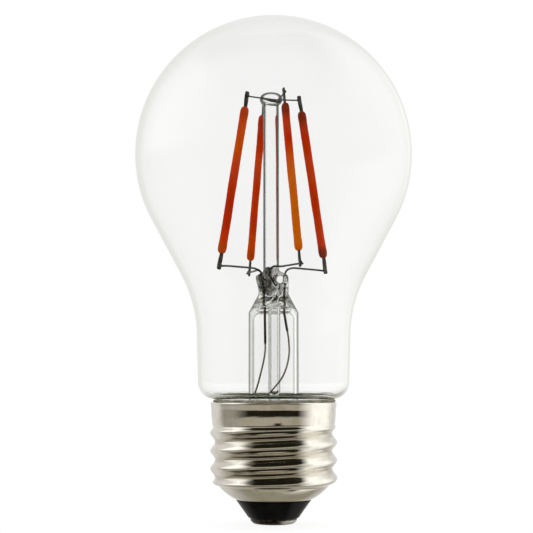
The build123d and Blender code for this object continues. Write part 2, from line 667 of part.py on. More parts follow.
# surface-mounted parts under the board: (middle x, middle y, length, width, height)
RECTIFIER = (-5.4, 3.6, 4.7, 3.9, 1.5)
DRIVER_IC = (2.2, 5.0, 4.9, 3.9, 1.4)
with BuildPart() as bridge_rectifier:
    x, y, length, width, height = RECTIFIER
    with Locations((x, y, BOARD_LOW_Z - 0.08 - height / 2)):
        Box(length, width, height)
    chamfer(bridge_rectifier.faces().sort_by(Axis.Z)[0].edges(), 0.25)
keep(bridge_rectifier, "bridge_rectifier")

with BuildPart() as driver_ic:
    x, y, length, width, height = DRIVER_IC
    with Locations((x, y, BOARD_LOW_Z - 0.08 - height / 2)):
        Box(length, width, height)
    chamfer(driver_ic.faces().sort_by(Axis.Z)[0].edges(), 0.2)
    with Locations((x - length / 2 + 0.7, y - width / 2 + 0.7, BOARD_LOW_Z - 0.08 - height)):
        Cylinder(0.3, 0.1, mode=Mode.SUBTRACT)
keep(driver_ic, "driver_ic")

with BuildPart() as package_legs:
    for (x, y, length, width, height), per_side, leg_width in ((RECTIFIER, 2, 0.6), (DRIVER_IC, 4, 0.4)):
        pitch = 2.54 if per_side == 2 else 1.27
        for side in (-1, 1):
            with Locations((x, y + side * (width / 2 + 0.5), BOARD_LOW_Z - 0.1)):
                with GridLocations(pitch, 1, per_side, 1):
                    Box(leg_width, 0.98, 0.2)
keep(package_legs, "package_legs")

RESISTOR_SPOTS = [(-7.5, -3.0), (-6.0, -6.4), (6.5, -0.4), (8.2, 2.4), (8.0, 4.6), (0.0, -1.6)]
CAPACITOR_SPOTS = [(-3.0, -0.2), (3.4, -1.4), (8.4, -3.2), (-2.4, 8.2)]
with BuildPart() as smd_resistors:
    with Locations(*[(x, y, BOARD_LOW_Z - 0.26) for x, y in RESISTOR_SPOTS]):
        Box(2.0, 1.25, 0.5)
keep(smd_resistors, "smd_resistors")

with BuildPart() as smd_capacitors:
    with Locations(*[(x, y, BOARD_LOW_Z - 0.46) for x, y in CAPACITOR_SPOTS]):
        Box(2.0, 1.25, 0.9)
    fillet(smd_capacitors.edges().filter_by(Axis.Z), 0.15)
keep(smd_capacitors, "smd_capacitors")

# ---------------------------------------------------------------- radio board
with BuildPart() as radio_board:
    with Locations((0, RADIO_Y, (BOARD_TOP_Z + RADIO_TOP_Z) / 2)):
        Box(RADIO_WIDTH, RADIO_THICK, RADIO_TOP_Z - BOARD_TOP_Z)
    fillet(radio_board.faces().sort_by(Axis.Z)[-1].edges().filter_by(Axis.Y), 0.5)
    with Locations((0, RADIO_Y, BOARD_TOP_Z - BOARD_THICK / 2 - 0.3)):
        Box(RADIO_TAB_WIDTH, RADIO_THICK, BOARD_THICK + 0.6)
keep(radio_board, "radio_board")

radio_front = RADIO_Y - RADIO_THICK / 2
with BuildPart() as radio_shield:
    with Locations((0, radio_front - 0.5, 17.0)):
        Box(5.8, 1.0, 4.8)
    fillet(radio_shield.faces().sort_by(Axis.Y)[0].edges(), 0.3)
keep(radio_shield, "radio_shield")

TRACE, TRACE_GAP, TRACE_THICK = 0.4, 0.75, 0.06
with BuildPart() as antenna_trace:
    trace_low, trace_top = 20.3, 22.9
    with BuildSketch(Plane.XZ.offset(-radio_front)):
        for k in range(7):
            with Locations(((k - 3) * TRACE_GAP, (trace_low + trace_top) / 2)):
                Rectangle(TRACE, trace_top - trace_low)
        for k in range(6):
            end = trace_top - TRACE / 2 if k % 2 else trace_low + TRACE / 2
            with Locations(((k - 2.5) * TRACE_GAP, end)):
                Rectangle(TRACE_GAP, TRACE)
    extrude(amount=TRACE_THICK)
keep(antenna_trace, "antenna_trace")

# ---------------------------------------------------------------- main board and its joints
wires_in_board = [tails["left"], tails["right"], contact_runs[0], shell_lead, *capacitor_legs.values()]
HOLES = [
    (*TAIL_HOLES["left"], TAIL_D),
    (*TAIL_HOLES["right"], TAIL_D),
    (*contact_hole, LEAD_D),
    (-10.0, 0, SHELL_LEAD_D),
    (leg_x + 1.1, CAPACITOR_Y - 1, 0.4),
    (leg_x + 1.1, CAPACITOR_Y + 1, 0.4),
]
with BuildPart() as driver_board:
    with BuildSketch(Plane.XY.offset(BOARD_LOW_Z)):
        Circle(BOARD_R)
        for x, y, diameter in HOLES:
            with Locations((x, y)):
                Circle(diameter / 2 + 0.1, mode=Mode.SUBTRACT)
        with Locations((0, RADIO_Y)):
            Rectangle(RADIO_TAB_WIDTH + 0.1, RADIO_THICK + 0.1, mode=Mode.SUBTRACT)
    extrude(amount=BOARD_THICK)
keep(driver_board, "driver_board")

with BuildPart() as solder_joints:
    for x, y, diameter in HOLES:
        with Locations((x, y, BOARD_LOW_Z - 0.15)):
            Cone(diameter / 2 + 0.12, diameter / 2 + 0.42, 0.3)
    for wire in wires_in_board:
        add(wire.part, mode=Mode.SUBTRACT)
keep(solder_joints, "solder_joints")
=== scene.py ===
"""Looks of the clear LED filament lamp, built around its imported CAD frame.

Lengths inside the helpers are millimetres; MM turns them into metres. Heights and places come from the frame.
"""

import json
import math
import random

import bmesh
import bpy
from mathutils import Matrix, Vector, noise


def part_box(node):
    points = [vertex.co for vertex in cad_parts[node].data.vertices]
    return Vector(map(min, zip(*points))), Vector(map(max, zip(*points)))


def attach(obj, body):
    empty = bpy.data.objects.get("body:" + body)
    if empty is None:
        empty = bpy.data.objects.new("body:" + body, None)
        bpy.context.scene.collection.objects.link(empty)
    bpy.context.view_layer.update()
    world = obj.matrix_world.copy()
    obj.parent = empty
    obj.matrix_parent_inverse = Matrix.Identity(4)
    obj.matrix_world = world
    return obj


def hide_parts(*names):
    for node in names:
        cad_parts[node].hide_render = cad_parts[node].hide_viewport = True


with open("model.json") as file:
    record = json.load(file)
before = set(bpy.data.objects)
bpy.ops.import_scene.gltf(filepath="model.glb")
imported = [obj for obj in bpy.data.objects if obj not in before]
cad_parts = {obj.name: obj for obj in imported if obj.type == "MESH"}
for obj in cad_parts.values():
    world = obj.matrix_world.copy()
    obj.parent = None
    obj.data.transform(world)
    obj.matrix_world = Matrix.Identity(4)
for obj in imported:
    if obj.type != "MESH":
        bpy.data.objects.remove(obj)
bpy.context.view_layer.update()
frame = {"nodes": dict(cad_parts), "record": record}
MM = 0.001
TAU = 2 * math.pi
random.seed(4)


# ---------------------------------------------------------------- what the frame says, in millimetres
def box_mm(node):
    """A CAD node's lowest and highest corners in millimetres."""
    low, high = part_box(node)
    return low / MM, high / MM


globe_low, globe_top = box_mm("glass_envelope")
shell_low, shell_top = box_mm("cap_shell")
rod_low, rod_top = box_mm("stem_rod")
button_low, button_top = box_mm("top_button")
flare_low = box_mm("flare_tube")[0]
exhaust_low, exhaust_top = box_mm("exhaust_tube")
insulator_low, insulator_top = box_mm("cap_insulator")
contact_low, contact_top = box_mm("centre_contact")
RIM_Z = shell_top.z
GLASS_END_Z = globe_low.z


# ---------------------------------------------------------------- mesh helpers
def make_object(name, points, faces, materials, face_slots=None, glass=False):
    """A mesh object from points in millimetres. Faces of solid pieces are turned outwards; glass pieces keep
    theirs, because the ones around a hollow in the glass have to face into it."""
    mesh = bpy.data.meshes.new(name)
    mesh.from_pydata([Vector(p) * MM for p in points], [], faces)
    if not glass:
        work = bmesh.new()
        work.from_mesh(mesh)
        bmesh.ops.recalc_face_normals(work, faces=work.faces)
        work.to_mesh(mesh)
        work.free()
    for material in materials:
        mesh.materials.append(material)
    if face_slots:
        mesh.polygons.foreach_set("material_index", face_slots)
    mesh.polygons.foreach_set("use_smooth", [True] * len(mesh.polygons))
    mesh.update()
    piece = bpy.data.objects.new(name, mesh)
    bpy.context.scene.collection.objects.link(piece)
    return piece


def skin(rings, closed=False):
    """Quads between successive rings; a ring of one point is a pole. Returns points and faces."""
    points, starts = [], []
    for ring in rings:
        starts.append(len(points))
        points.extend(ring)
    faces = []
    pairs = list(zip(range(len(rings) - 1), range(1, len(rings))))
    if closed:
        pairs.append((len(rings) - 1, 0))
    for a, b in pairs:
        one, two = starts[a], starts[b]
        n, m = len(rings[a]), len(rings[b])
        for k in range(max(n, m)):
            nxt = (k + 1) % max(n, m)
            if n == 1:
                faces.append((one, two + k, two + nxt))
            elif m == 1:
                faces.append((one + k, two, one + nxt))
            else:
                faces.append((one + k, two + k, two + nxt, one + nxt))
    return points, faces


def join(*meshes):
    """Several (points, faces) as one."""
    points, faces = [], []
    for more_points, more_faces in meshes:
        start = len(points)
        points.extend(more_points)
        faces.extend(tuple(start + i for i in face) for face in more_faces)
    return points, faces


def circle(r, z, segments, x=0.0, y=0.0, ry=None):
    """A level ring, or a single point when its radius is 0."""
    if r == 0:
        return [(x, y, z)]
    ry = r if ry is None else ry
    angles = [TAU * k / segments for k in range(segments)]
    return [(x + r * math.cos(a), y + ry * math.sin(a), z) for a in angles]


def arc(x, z, r, start, end, count):
    """Profile points on an arc, in degrees, both ends included."""
    angles = [math.radians(start + (end - start) * i / count) for i in range(count + 1)]
    return [(x + r * math.cos(a), z + r * math.sin(a)) for a in angles]


def rounded(corners, steps=5):
    """A profile through (r, z, fillet) corners, with each corner rounded by its fillet."""
    out = [corners[0][:2]]
    for before, here, after in zip(corners, corners[1:], corners[2:]):
        p = Vector(here[:2])
        one, two = Vector(before[:2]) - p, Vector(after[:2]) - p
        cut = min(here[2], 0.49 * one.length, 0.49 * two.length)
        if cut <= 0:
            out.append(tuple(p))
            continue
        a, b = p + one.normalized() * cut, p + two.normalized() * cut
        for i in range(steps + 1):
            t = i / steps
            out.append(tuple(a * (1 - t) ** 2 + p * 2 * t * (1 - t) + b * t**2))
    out.append(corners[-1][:2])
    return out


def divided(profile, longest):
    """The same profile with its long runs divided, so that no face is long and thin."""
    out = [profile[0]]
    for a, b in zip(profile, profile[1:]):
        parts = max(1, math.ceil(math.dist(a, b) / longest))
        for i in range(1, parts + 1):
            out.append((a[0] + (b[0] - a[0]) * i / parts, a[1] + (b[1] - a[1]) * i / parts))
    return out


def turned(name, profile, segments, materials, wobble=None, closed=False, glass=False):
    """A turned piece from an (r, z) profile. wobble(angle, r, z) gives a small change of radius."""
    rings = []
    for r, z in profile:
        if r < 1e-6:
            rings.append([(0.0, 0.0, z)])
            continue
        ring = []
        for k in range(segments):
            a = TAU * k / segments
            rr = r + (wobble(a, r, z) if wobble else 0)
            ring.append((rr * math.cos(a), rr * math.sin(a), z))
        rings.append(ring)
    return make_object(name, *skin(rings, closed), materials, glass=glass)


def ease(value, start, end):
    """0 at start, 1 at end, level at both."""
    t = min(max((value - start) / (end - start), 0.0), 1.0)
    return t * t * (3 - 2 * t)


def lumps(x, y, z, size):
    """Smooth noise from -1 to 1 whose lumps are about size millimetres."""
    return noise.noise(Vector((x / size, y / size, z / size)))


# ---------------------------------------------------------------- material helpers
class Nodes:
    """A material's node tree with short ways to add what these materials use."""

    def __init__(self, name):
        self.material = bpy.data.materials.new(name)
        self.material.use_nodes = True
        self.tree = self.material.node_tree
        self.tree.nodes.clear()
        self.output = self.tree.nodes.new("ShaderNodeOutputMaterial")
        self.shader = self.tree.nodes.new("ShaderNodeBsdfPrincipled")
        self.link(self.shader.outputs[0], self.output.inputs["Surface"])
        self.place = self.tree.nodes.new("ShaderNodeTexCoord").outputs["Object"]

    @classmethod
    def around(cls, material):
        """The same short ways for a material that is there already."""
        n = cls.__new__(cls)
        n.material, n.tree = material, material.node_tree
        n.shader = next(node for node in n.tree.nodes if node.type == "BSDF_PRINCIPLED")
        n.output = next(node for node in n.tree.nodes if node.type == "OUTPUT_MATERIAL")
        n.place = next(node for node in n.tree.nodes if node.type == "TEX_COORD").outputs["Object"]
        return n

    def link(self, source, target):
        self.tree.links.new(source, target)

    def set(self, **values):
        for key, value in values.items():
            self.shader.inputs[key.replace("_", " ")].default_value = value
        return self

    def stretched(self, scale):
        """Object coordinates stretched by a scale for each axis, in lumps per metre."""
        node = self.tree.nodes.new("ShaderNodeMapping")
        node.inputs["Scale"].default_value = scale
        self.link(self.place, node.inputs["Vector"])
        return node.outputs[0]

    def noise(self, size, detail=3.0, rough=0.5, stretch=(1, 1, 1)):
        """Noise whose lumps are about size millimetres across."""
        node = self.tree.nodes.new("ShaderNodeTexNoise")
        node.inputs["Scale"].default_value = 1.0
        node.inputs["Detail"].default_value = detail
        node.inputs["Roughness"].default_value = rough
        per_metre = 1 / (size * MM)
        self.link(self.stretched([per_metre * s for s in stretch]), node.inputs["Vector"])
        return node.outputs["Fac"]

    def cells(self, size, feature="F1"):
        node = self.tree.nodes.new("ShaderNodeTexVoronoi")
        node.feature = feature
        node.inputs["Scale"].default_value = 1.0
        per_metre = 1 / (size * MM)
        self.link(self.stretched([per_metre] * 3), node.inputs["Vector"])
        return node.outputs["Distance"]

    def axes(self):
        """The object-space x, y and z in millimetres."""
        node = self.tree.nodes.new("ShaderNodeSeparateXYZ")
        self.link(self.stretched((1000, 1000, 1000)), node.inputs[0])
        return node.outputs["X"], node.outputs["Y"], node.outputs["Z"]

    def ramp(self, source, *stops, smooth=True):
        """A colour or value ramp: stops are (place, colour or value)."""
        node = self.tree.nodes.new("ShaderNodeValToRGB")
        node.color_ramp.interpolation = "EASE" if smooth else "LINEAR"
        elements = node.color_ramp.elements
        while len(elements) < len(stops):
            elements.new(0.5)
        for element, (place, colour) in zip(elements, stops):
            element.position = place
            element.color = (colour, colour, colour, 1) if isinstance(colour, (int, float)) else (*colour, 1)
        self.link(source, node.inputs[0])
        return node.outputs[0]

    def span(self, source, low, high, new_low, new_high):
        node = self.tree.nodes.new("ShaderNodeMapRange")
        for key, value in (("From Min", low), ("From Max", high), ("To Min", new_low), ("To Max", new_high)):
            node.inputs[key].default_value = value
        self.link(source, node.inputs["Value"])
        return node.outputs[0]

    def math(self, operation, *values):
        node = self.tree.nodes.new("ShaderNodeMath")
        node.operation = operation
        for socket, value in zip(node.inputs, values):
            if isinstance(value, (int, float)):
                socket.default_value = value
            else:
                self.link(value, socket)
        return node.outputs[0]

    def mix(self, factor, one, two, blend="MIX"):
        node = self.tree.nodes.new("ShaderNodeMix")
        node.data_type = "RGBA"
        node.blend_type = blend
        for key, value in (("Factor_Float", factor), ("A_Color", one), ("B_Color", two)):
            socket = next(s for s in node.inputs if s.identifier == key)
            if isinstance(value, (int, float)):
                socket.default_value = value
            elif isinstance(value, tuple):
                socket.default_value = (*value, 1)
            else:
                self.link(value, socket)
        return next(s for s in node.outputs if s.identifier == "Result_Color")

    def bump(self, source, strength, depth, before=None):
        """Bump of a depth in millimetres, stacked on another bump if one is given."""
        node = self.tree.nodes.new("ShaderNodeBump")
        node.inputs["Strength"].default_value = strength
        node.inputs["Distance"].default_value = depth * MM
        self.link(source, node.inputs["Height"])
        if before is not None:
            self.link(before, node.inputs["Normal"])
        return node.outputs[0]

    def finish(self, colour=None, rough=None, normal=None):
        for key, source in (("Base Color", colour), ("Roughness", rough), ("Normal", normal)):
            if source is not None:
                self.link(source, self.shader.inputs[key])
        return self.material


def clear_glass(name, centre, edge, first, last, waves, ior):
    """Clear glass: coloured as centre where it is faced and darkened to edge where its wall is seen along
    (from first to last on the facing scale), a painted shade for the dark edges of glass walls; with slow
    waves (size, depth). Light for what is inside goes straight through.
    The indices are below real glass's, so that its walls mirror less of the studio's dark front."""
    n = Nodes(name)
    n.set(Transmission_Weight=1.0, IOR=ior, Roughness=0.0)
    facing = n.tree.nodes.new("ShaderNodeLayerWeight")
    facing.inputs["Blend"].default_value = 0.5
    size, depth = waves
    slow = n.noise(size, detail=1.5, rough=0.4)
    normal = n.bump(slow, 1.0, depth)
    middle = [(a + b) / 2 for a, b in zip(centre, edge)]
    # painted shade: the colour darkens from centre to edge where the wall is seen along
    tint_and_edge_shade = n.ramp(facing.outputs["Facing"], (first, centre), ((first + last) / 2, middle), (last, edge))
    n.finish(colour=tint_and_edge_shade, normal=normal)
    path = n.tree.nodes.new("ShaderNodeLightPath")
    seen = n.math("MAXIMUM", path.outputs["Is Camera Ray"], path.outputs["Is Transmission Ray"])
    pane = n.tree.nodes.new("ShaderNodeBsdfTransparent")
    pane.inputs[0].default_value = (0.97, 0.98, 0.975, 1)
    choose = n.tree.nodes.new("ShaderNodeMixShader")
    n.link(seen, choose.inputs[0])
    n.link(pane.outputs[0], choose.inputs[1])
    n.link(n.shader.outputs[0], choose.inputs[2])
    n.link(choose.outputs[0], n.output.inputs["Surface"])
    return n.material


# ---------------------------------------------------------------- materials
CLEAR = (0.985, 0.985, 0.982)  # the stem's glass where it is faced
BULGE = Vector((1.35, 0.0, 50.3))  # the swelling at the right of the pressed glass
BULGE_R = 1.8
PRESS_LOW_Z, PRESS_SHOULDER_Z = 43.9, 47.3  # the melted glass starts; its shoulder ends


def pressed_glass():
    """The pinched glass, full of wires, streaks and tiny bubbles. Its colour carries painted shade: dark and
    mottled at the left and along its shoulder, a dark ring round the swelling at its right, and clearer
    inside that swelling."""
    n = Nodes.around(
        clear_glass(
            "press_glass", (0.97, 0.97, 0.966), (0.03, 0.031, 0.026),
            first=0.32, last=0.66, waves=(0.9, 0.15), ior=1.4,
        )
    )
    x, _, z = n.axes()
    across, up = n.math("SUBTRACT", x, BULGE.x), n.math("SUBTRACT", z, BULGE.z)
    away = n.math("SQRT", n.math("ADD", n.math("MULTIPLY", across, across), n.math("MULTIPLY", up, up)))
    streaks = n.noise(0.7, detail=5, rough=0.7, stretch=(1, 1, 0.7))
    # painted shade: a dark left side, where the glass is full of wires
    crowded_left_shade = n.math("MULTIPLY", n.span(x, 0.3, -0.5, 0, 1), n.span(z, 46.6, 47.6, 0, 1))
    # painted shade: a dark ring round the swelling, broken up by the streaks
    rim = n.math("MULTIPLY", n.span(away, 0.95, 1.35, 0, 1), n.span(streaks, 0.4, 0.52, 1, 0.35))
    above = n.span(z, PRESS_LOW_Z, PRESS_LOW_Z + 0.5, 0, 1)
    shoulder = n.math("MULTIPLY", above, n.span(z, PRESS_SHOULDER_Z + 0.9, PRESS_SHOULDER_Z, 0, 1))
    # colours of the painted shade: dark at the left, dark patches along the shoulder
    dark = n.ramp(streaks, (0.42, (0.013, 0.0135, 0.01)), (0.7, (0.24, 0.24, 0.205)))
    patchy_shade = n.ramp(streaks, (0.43, (0.03, 0.031, 0.024)), (0.54, (0.92, 0.92, 0.9)))
    clear = next(link.from_socket for link in n.tree.links if link.to_socket == n.shader.inputs["Base Color"])
    over = n.span(z, PRESS_SHOULDER_Z, PRESS_SHOULDER_Z + 0.9, 0, 1)
    colour = n.mix(n.math("MULTIPLY", over, rim), clear, (0.015, 0.016, 0.012))
    colour = n.mix(shoulder, colour, n.mix(0.9, clear, patchy_shade, "MULTIPLY"))
    colour = n.mix(crowded_left_shade, colour, dark)
    return n.finish(colour=colour)


def nickel_plating():
    """Nickel-plated rolled shell: rolling lines around it, thread roots darker with painted shade and faint
    tarnish, fine scuffs.
    """
    n = Nodes("nickel_plating").set(Metallic=1.0, IOR=1.9)
    lines = n.noise(0.9, detail=4, rough=0.6, stretch=(0.18, 0.18, 7))
    cloud = n.noise(4.5, detail=4, rough=0.6)
    scuffs = n.ramp(n.noise(1.6, detail=6, rough=0.75, stretch=(1, 1, 0.35)), (0.52, 0.0), (0.7, 1.0))
    base = n.ramp(cloud, (0.25, (0.62, 0.585, 0.52)), (0.55, (0.75, 0.725, 0.67)), (0.8, (0.8, 0.785, 0.745)))
    colour = n.mix(n.span(scuffs, 0, 1, 0, 0.35), base, (0.5, 0.46, 0.38))
    x, y, z = n.axes()
    across = n.math("SQRT", n.math("ADD", n.math("POWER", x, 2.0), n.math("POWER", y, 2.0)))
    # painted shade with faint tarnish: darker and a little rougher deep in the thread roots
    root_shade_and_tarnish = n.math("MULTIPLY", n.span(across, 12.45, 12.2, 0, 1), n.span(z, 8.5, 9.5, 0, 1))
    colour = n.mix(n.math("MULTIPLY", root_shade_and_tarnish, 0.6), colour, (0.46, 0.42, 0.34))
    rough = n.math("ADD", n.span(cloud, 0.3, 0.7, 0.06, 0.12), n.math("MULTIPLY", scuffs, 0.07))
    rough = n.math("ADD", rough, n.math("MULTIPLY", root_shade_and_tarnish, 0.03))
    normal = n.bump(lines, 0.3, 0.006)
    normal = n.bump(cloud, 0.4, 0.03, normal)
    return n.finish(colour, rough, normal)


def black_moulding():
    """Glossy black moulding: faint mould waves, dust and small chips in the gloss."""
    n = Nodes("black_moulding").set(IOR=1.5, Specular_IOR_Level=0.06)
    cloud = n.noise(2.2, detail=4, rough=0.6)
    specks = n.ramp(n.cells(0.55), (0.0, 1.0), (0.09, 0.0))
    base = n.ramp(cloud, (0.3, (0.0015, 0.0015, 0.0015)), (0.7, (0.0045, 0.0045, 0.0045)))
    colour = n.mix(n.span(specks, 0, 1, 0, 0.25), base, (0.05, 0.05, 0.046))
    rough = n.span(cloud, 0.3, 0.7, 0.2, 0.36)
    return n.finish(colour, rough, n.bump(cloud, 0.4, 0.05))


def stamped_contact():
    """Stamped contact, coloured near black with painted shade over tarnish, with a painted highlight at one
    side of its edge.
    """
    n = Nodes("contact_metal").set(Metallic=1.0)
    cloud = n.noise(0.9, detail=6, rough=0.7)
    scratches = n.noise(0.7, detail=5, rough=0.7, stretch=(0.25, 3.5, 1))
    # painted shade: the contact is coloured near black, with tones of tarnish
    dull, shaded_tarnish, bright = (0.012, 0.011, 0.01), (0.07, 0.066, 0.058), (0.34, 0.32, 0.29)
    colour = n.ramp(cloud, (0.35, dull), (0.6, shaded_tarnish), (0.8, bright))
    x, y, z = n.axes()
    # painted highlight: a bright patch low on its edge towards the front right
    toward = n.math("SUBTRACT", n.math("MULTIPLY", x, 0.74), n.math("MULTIPLY", y, 0.67))
    edge_highlight = n.math("MULTIPLY", n.span(toward, 3.7, 4.3, 0, 1), n.span(z, 1.0, 0.7, 0, 1))
    edge_highlight = n.math("MULTIPLY", edge_highlight, n.span(cloud, 0.35, 0.55, 0.5, 1.0))
    colour = n.mix(edge_highlight, colour, (0.62, 0.61, 0.58))
    rough = n.span(scratches, 0.3, 0.7, 0.28, 0.5)
    return n.finish(colour, rough, n.bump(scratches, 0.5, 0.02))


def wire_metal(name, dark, light, rough_low, rough_high):
    """Drawn wire: lines along it and patches of oxide."""
    n = Nodes(name).set(Metallic=1.0)
    patches = n.noise(1.1, detail=5, rough=0.65)
    drawn = n.noise(0.12, detail=2)
    colour = n.ramp(patches, (0.3, dark), (0.7, light))
    return n.finish(colour, n.span(patches, 0.3, 0.7, rough_low, rough_high), n.bump(drawn, 0.4, 0.01))


def silicone():
    """Phosphor in silicone: deep red-orange with amber patches, brown where a tab shows through, satin."""
    n = Nodes("phosphor_silicone").set(
        IOR=1.42, Specular_IOR_Level=0.02, Subsurface_Weight=0.15, Subsurface_Scale=0.0005
    )
    n.shader.inputs["Subsurface Radius"].default_value = (1.0, 0.25, 0.05)
    patches = n.noise(8.0, detail=2, rough=0.45, stretch=(1, 1, 0.6))
    grain = n.noise(0.35, detail=3, rough=0.6)
    base = n.ramp(
        patches,
        (0.36, (0.38, 0.018, 0.0)),
        (0.52, (0.45, 0.03, 0.0)),
        (0.7, (0.5, 0.065, 0.0)),
    )
    x, y, z = n.axes()
    # the front filament's lower half shines through amber
    nearness = n.math("ADD", y, n.math("MULTIPLY", patches, -1.5))
    amber = n.span(nearness, -8.7, -10.2, 0, 1)
    base = n.mix(amber, base, (0.48, 0.1, 0.001))
    colour = n.mix(n.span(grain, 0.35, 0.65, 0.0, 0.3), base, (0.25, 0.008, 0.0))
    # both ends are brown, most of all on the right
    low_end = n.math("MULTIPLY", n.span(z, 58.2, 56.6, 0.0, 1.0), n.math("SUBTRACT", 1.0, amber))
    ends = n.math("MAXIMUM", low_end, n.span(z, 82.0, 84.6, 0.0, 1.0))
    ends = n.math("MULTIPLY", ends, n.span(x, -2, 1, 0.3, 1))
    ends = n.math("MULTIPLY", ends, n.span(patches, 0.35, 0.6, 0.6, 0.9))
    colour = n.mix(ends, colour, (0.075, 0.008, 0.001))
    return n.finish(colour, n.span(grain, 0.3, 0.7, 0.42, 0.6), n.bump(grain, 0.35, 0.04))


def speckled(name, dark, light, size, rough=(0.4, 0.6), metallic=0.0, depth=0.03):
    """A plain technical surface: cloudy colour, fine grain, uneven gloss."""
    n = Nodes(name).set(Metallic=metallic)
    cloud = n.noise(size, detail=5, rough=0.65)
    grain = n.noise(size * 0.12, detail=2)
    colour = n.mix(0.35, n.ramp(cloud, (0.3, dark), (0.7, light)), n.ramp(grain, (0.35, dark), (0.65, light)))
    return n.finish(colour, n.span(cloud, 0.3, 0.7, *rough), n.bump(grain, 0.5, depth))


def circuit_board():
    """Green solder mask over copper: faint raised traces, and a weave deep in the board."""
    n = Nodes("circuit_board").set(IOR=1.5, Coat_Weight=0.3, Coat_Roughness=0.2)
    brick = n.tree.nodes.new("ShaderNodeTexBrick")
    brick.inputs["Scale"].default_value = 1.0
    brick.inputs["Mortar Size"].default_value = 0.07
    brick.inputs["Color1"].default_value = (0.024, 0.19, 0.1, 1)
    brick.inputs["Color2"].default_value = (0.03, 0.24, 0.13, 1)
    brick.inputs["Mortar"].default_value = (0.015, 0.12, 0.06, 1)
    n.link(n.stretched((420, 420, 420)), brick.inputs["Vector"])
    weave = n.noise(0.5, detail=3)
    colour = n.mix(n.span(weave, 0.3, 0.7, 0, 0.35), brick.outputs["Color"], (0.05, 0.2, 0.1))
    return n.finish(colour, n.span(weave, 0.3, 0.7, 0.3, 0.45), n.bump(brick.outputs["Fac"], 0.3, 0.03))


def winding_copper():
    """Enamelled copper turns: a fine band for each turn."""
    n = Nodes("winding_copper").set(Metallic=1.0)
    wave = n.tree.nodes.new("ShaderNodeTexWave")
    wave.bands_direction = "Z"
    wave.inputs["Scale"].default_value = 1.0
    wave.inputs["Distortion"].default_value = 0.4
    n.link(n.stretched((1100, 1100, 1100)), wave.inputs["Vector"])
    colour = n.ramp(wave.outputs["Fac"], (0.1, (0.16, 0.05, 0.02)), (0.7, (0.62, 0.26, 0.12)))
    rough = n.span(n.noise(0.8), 0.3, 0.7, 0.25, 0.4)
    return n.finish(colour, rough, n.bump(wave.outputs["Fac"], 0.8, 0.08))


nickel_wire = wire_metal("nickel_wire", (0.05, 0.048, 0.042), (0.15, 0.145, 0.13), 0.35, 0.55)
sealing_wire = wire_metal("sealing_wire", (0.02, 0.017, 0.015), (0.085, 0.06, 0.045), 0.4, 0.6)
copper_wire = wire_metal("copper_wire", (0.13, 0.12, 0.095), (0.32, 0.29, 0.24), 0.35, 0.55)
tab_metal = wire_metal("filament_tab", (0.035, 0.033, 0.03), (0.12, 0.115, 0.1), 0.4, 0.6)
tinned = speckled("tinned_metal", (0.42, 0.42, 0.4), (0.66, 0.66, 0.64), 1.5, (0.25, 0.4), 1.0, 0.01)
# the second colour of each clear glass is painted shade, where its wall is seen along
envelope_glass = clear_glass(
    "envelope_glass", (0.96, 0.961, 0.958), (0.9, 0.904, 0.894),
    first=0.74, last=1.0, waves=(16, 0.02), ior=1.2,
)
tube_glass = clear_glass(
    "stem_tube_glass", CLEAR, (0.03, 0.031, 0.027), first=0.55, last=0.73, waves=(3.5, 0.02), ior=1.27
)
press_glass = pressed_glass()
rod_glass = clear_glass(
    "stem_rod_glass", CLEAR, (0.012, 0.013, 0.01), first=0.19, last=0.37, waves=(4.0, 0.015), ior=1.35
)
exhaust_glass = clear_glass(
    "exhaust_tube_glass", (0.98, 0.98, 0.976), (0.26, 0.265, 0.24),
    first=0.2, last=0.45, waves=(3.0, 0.01), ior=1.27,
)
nickel, black_insulator = nickel_plating(), black_moulding()
contact_metal, phosphor = stamped_contact(), silicone()
SLOT_MATERIALS = {
    "nickel_wire": nickel_wire,
    "sealing_wire": sealing_wire,
    "copper_wire": copper_wire,
    "filament_tab": tab_metal,
    "tinned_metal": tinned,
    "led_substrate": speckled("led_substrate", (0.6, 0.58, 0.52), (0.75, 0.73, 0.68), 0.8),
    "led_chip": speckled("led_chip", (0.3, 0.34, 0.36), (0.5, 0.55, 0.56), 0.3, (0.15, 0.25)),
    "cement": speckled("basing_cement", (0.03, 0.026, 0.015), (0.3, 0.275, 0.2), 1.6, (0.6, 0.8), 0.0, 0.1),
    "sleeve_film": speckled("sleeve_film", (0.6, 0.58, 0.5), (0.74, 0.72, 0.64), 3.0, (0.25, 0.4)),
    "circuit_board": circuit_board(),
    "black_package": speckled("black_package", (0.012, 0.012, 0.012), (0.03, 0.03, 0.03), 0.8, (0.45, 0.6)),
    "capacitor_can": speckled("capacitor_can", (0.01, 0.012, 0.05), (0.02, 0.025, 0.09), 2.0, (0.25, 0.35)),
    "ferrite": speckled("ferrite", (0.03, 0.03, 0.03), (0.07, 0.07, 0.068), 0.5, (0.6, 0.8)),
    "winding_copper": winding_copper(),
    "resistor_body": speckled("resistor_body", (0.04, 0.13, 0.2), (0.07, 0.2, 0.29), 1.0, (0.35, 0.5)),
    "chip_resistor": speckled("chip_resistor", (0.015,) * 3, (0.035,) * 3, 0.4, (0.3, 0.45)),
    "chip_capacitor": speckled("chip_capacitor", (0.26, 0.17, 0.1), (0.4, 0.28, 0.17), 0.4, (0.4, 0.55)),
    "solder": speckled("solder", (0.45, 0.45, 0.44), (0.62, 0.62, 0.6), 0.6, (0.18, 0.35), 1.0, 0.02),
}
slot_of = {part["node"]: part["material_slot"] for part in frame["record"]["subparts"]}
for node, cad_object in frame["nodes"].items():
    material = SLOT_MATERIALS.get(slot_of[node])
    if material:
        cad_object.data.materials.clear()
        cad_object.data.materials.append(material)


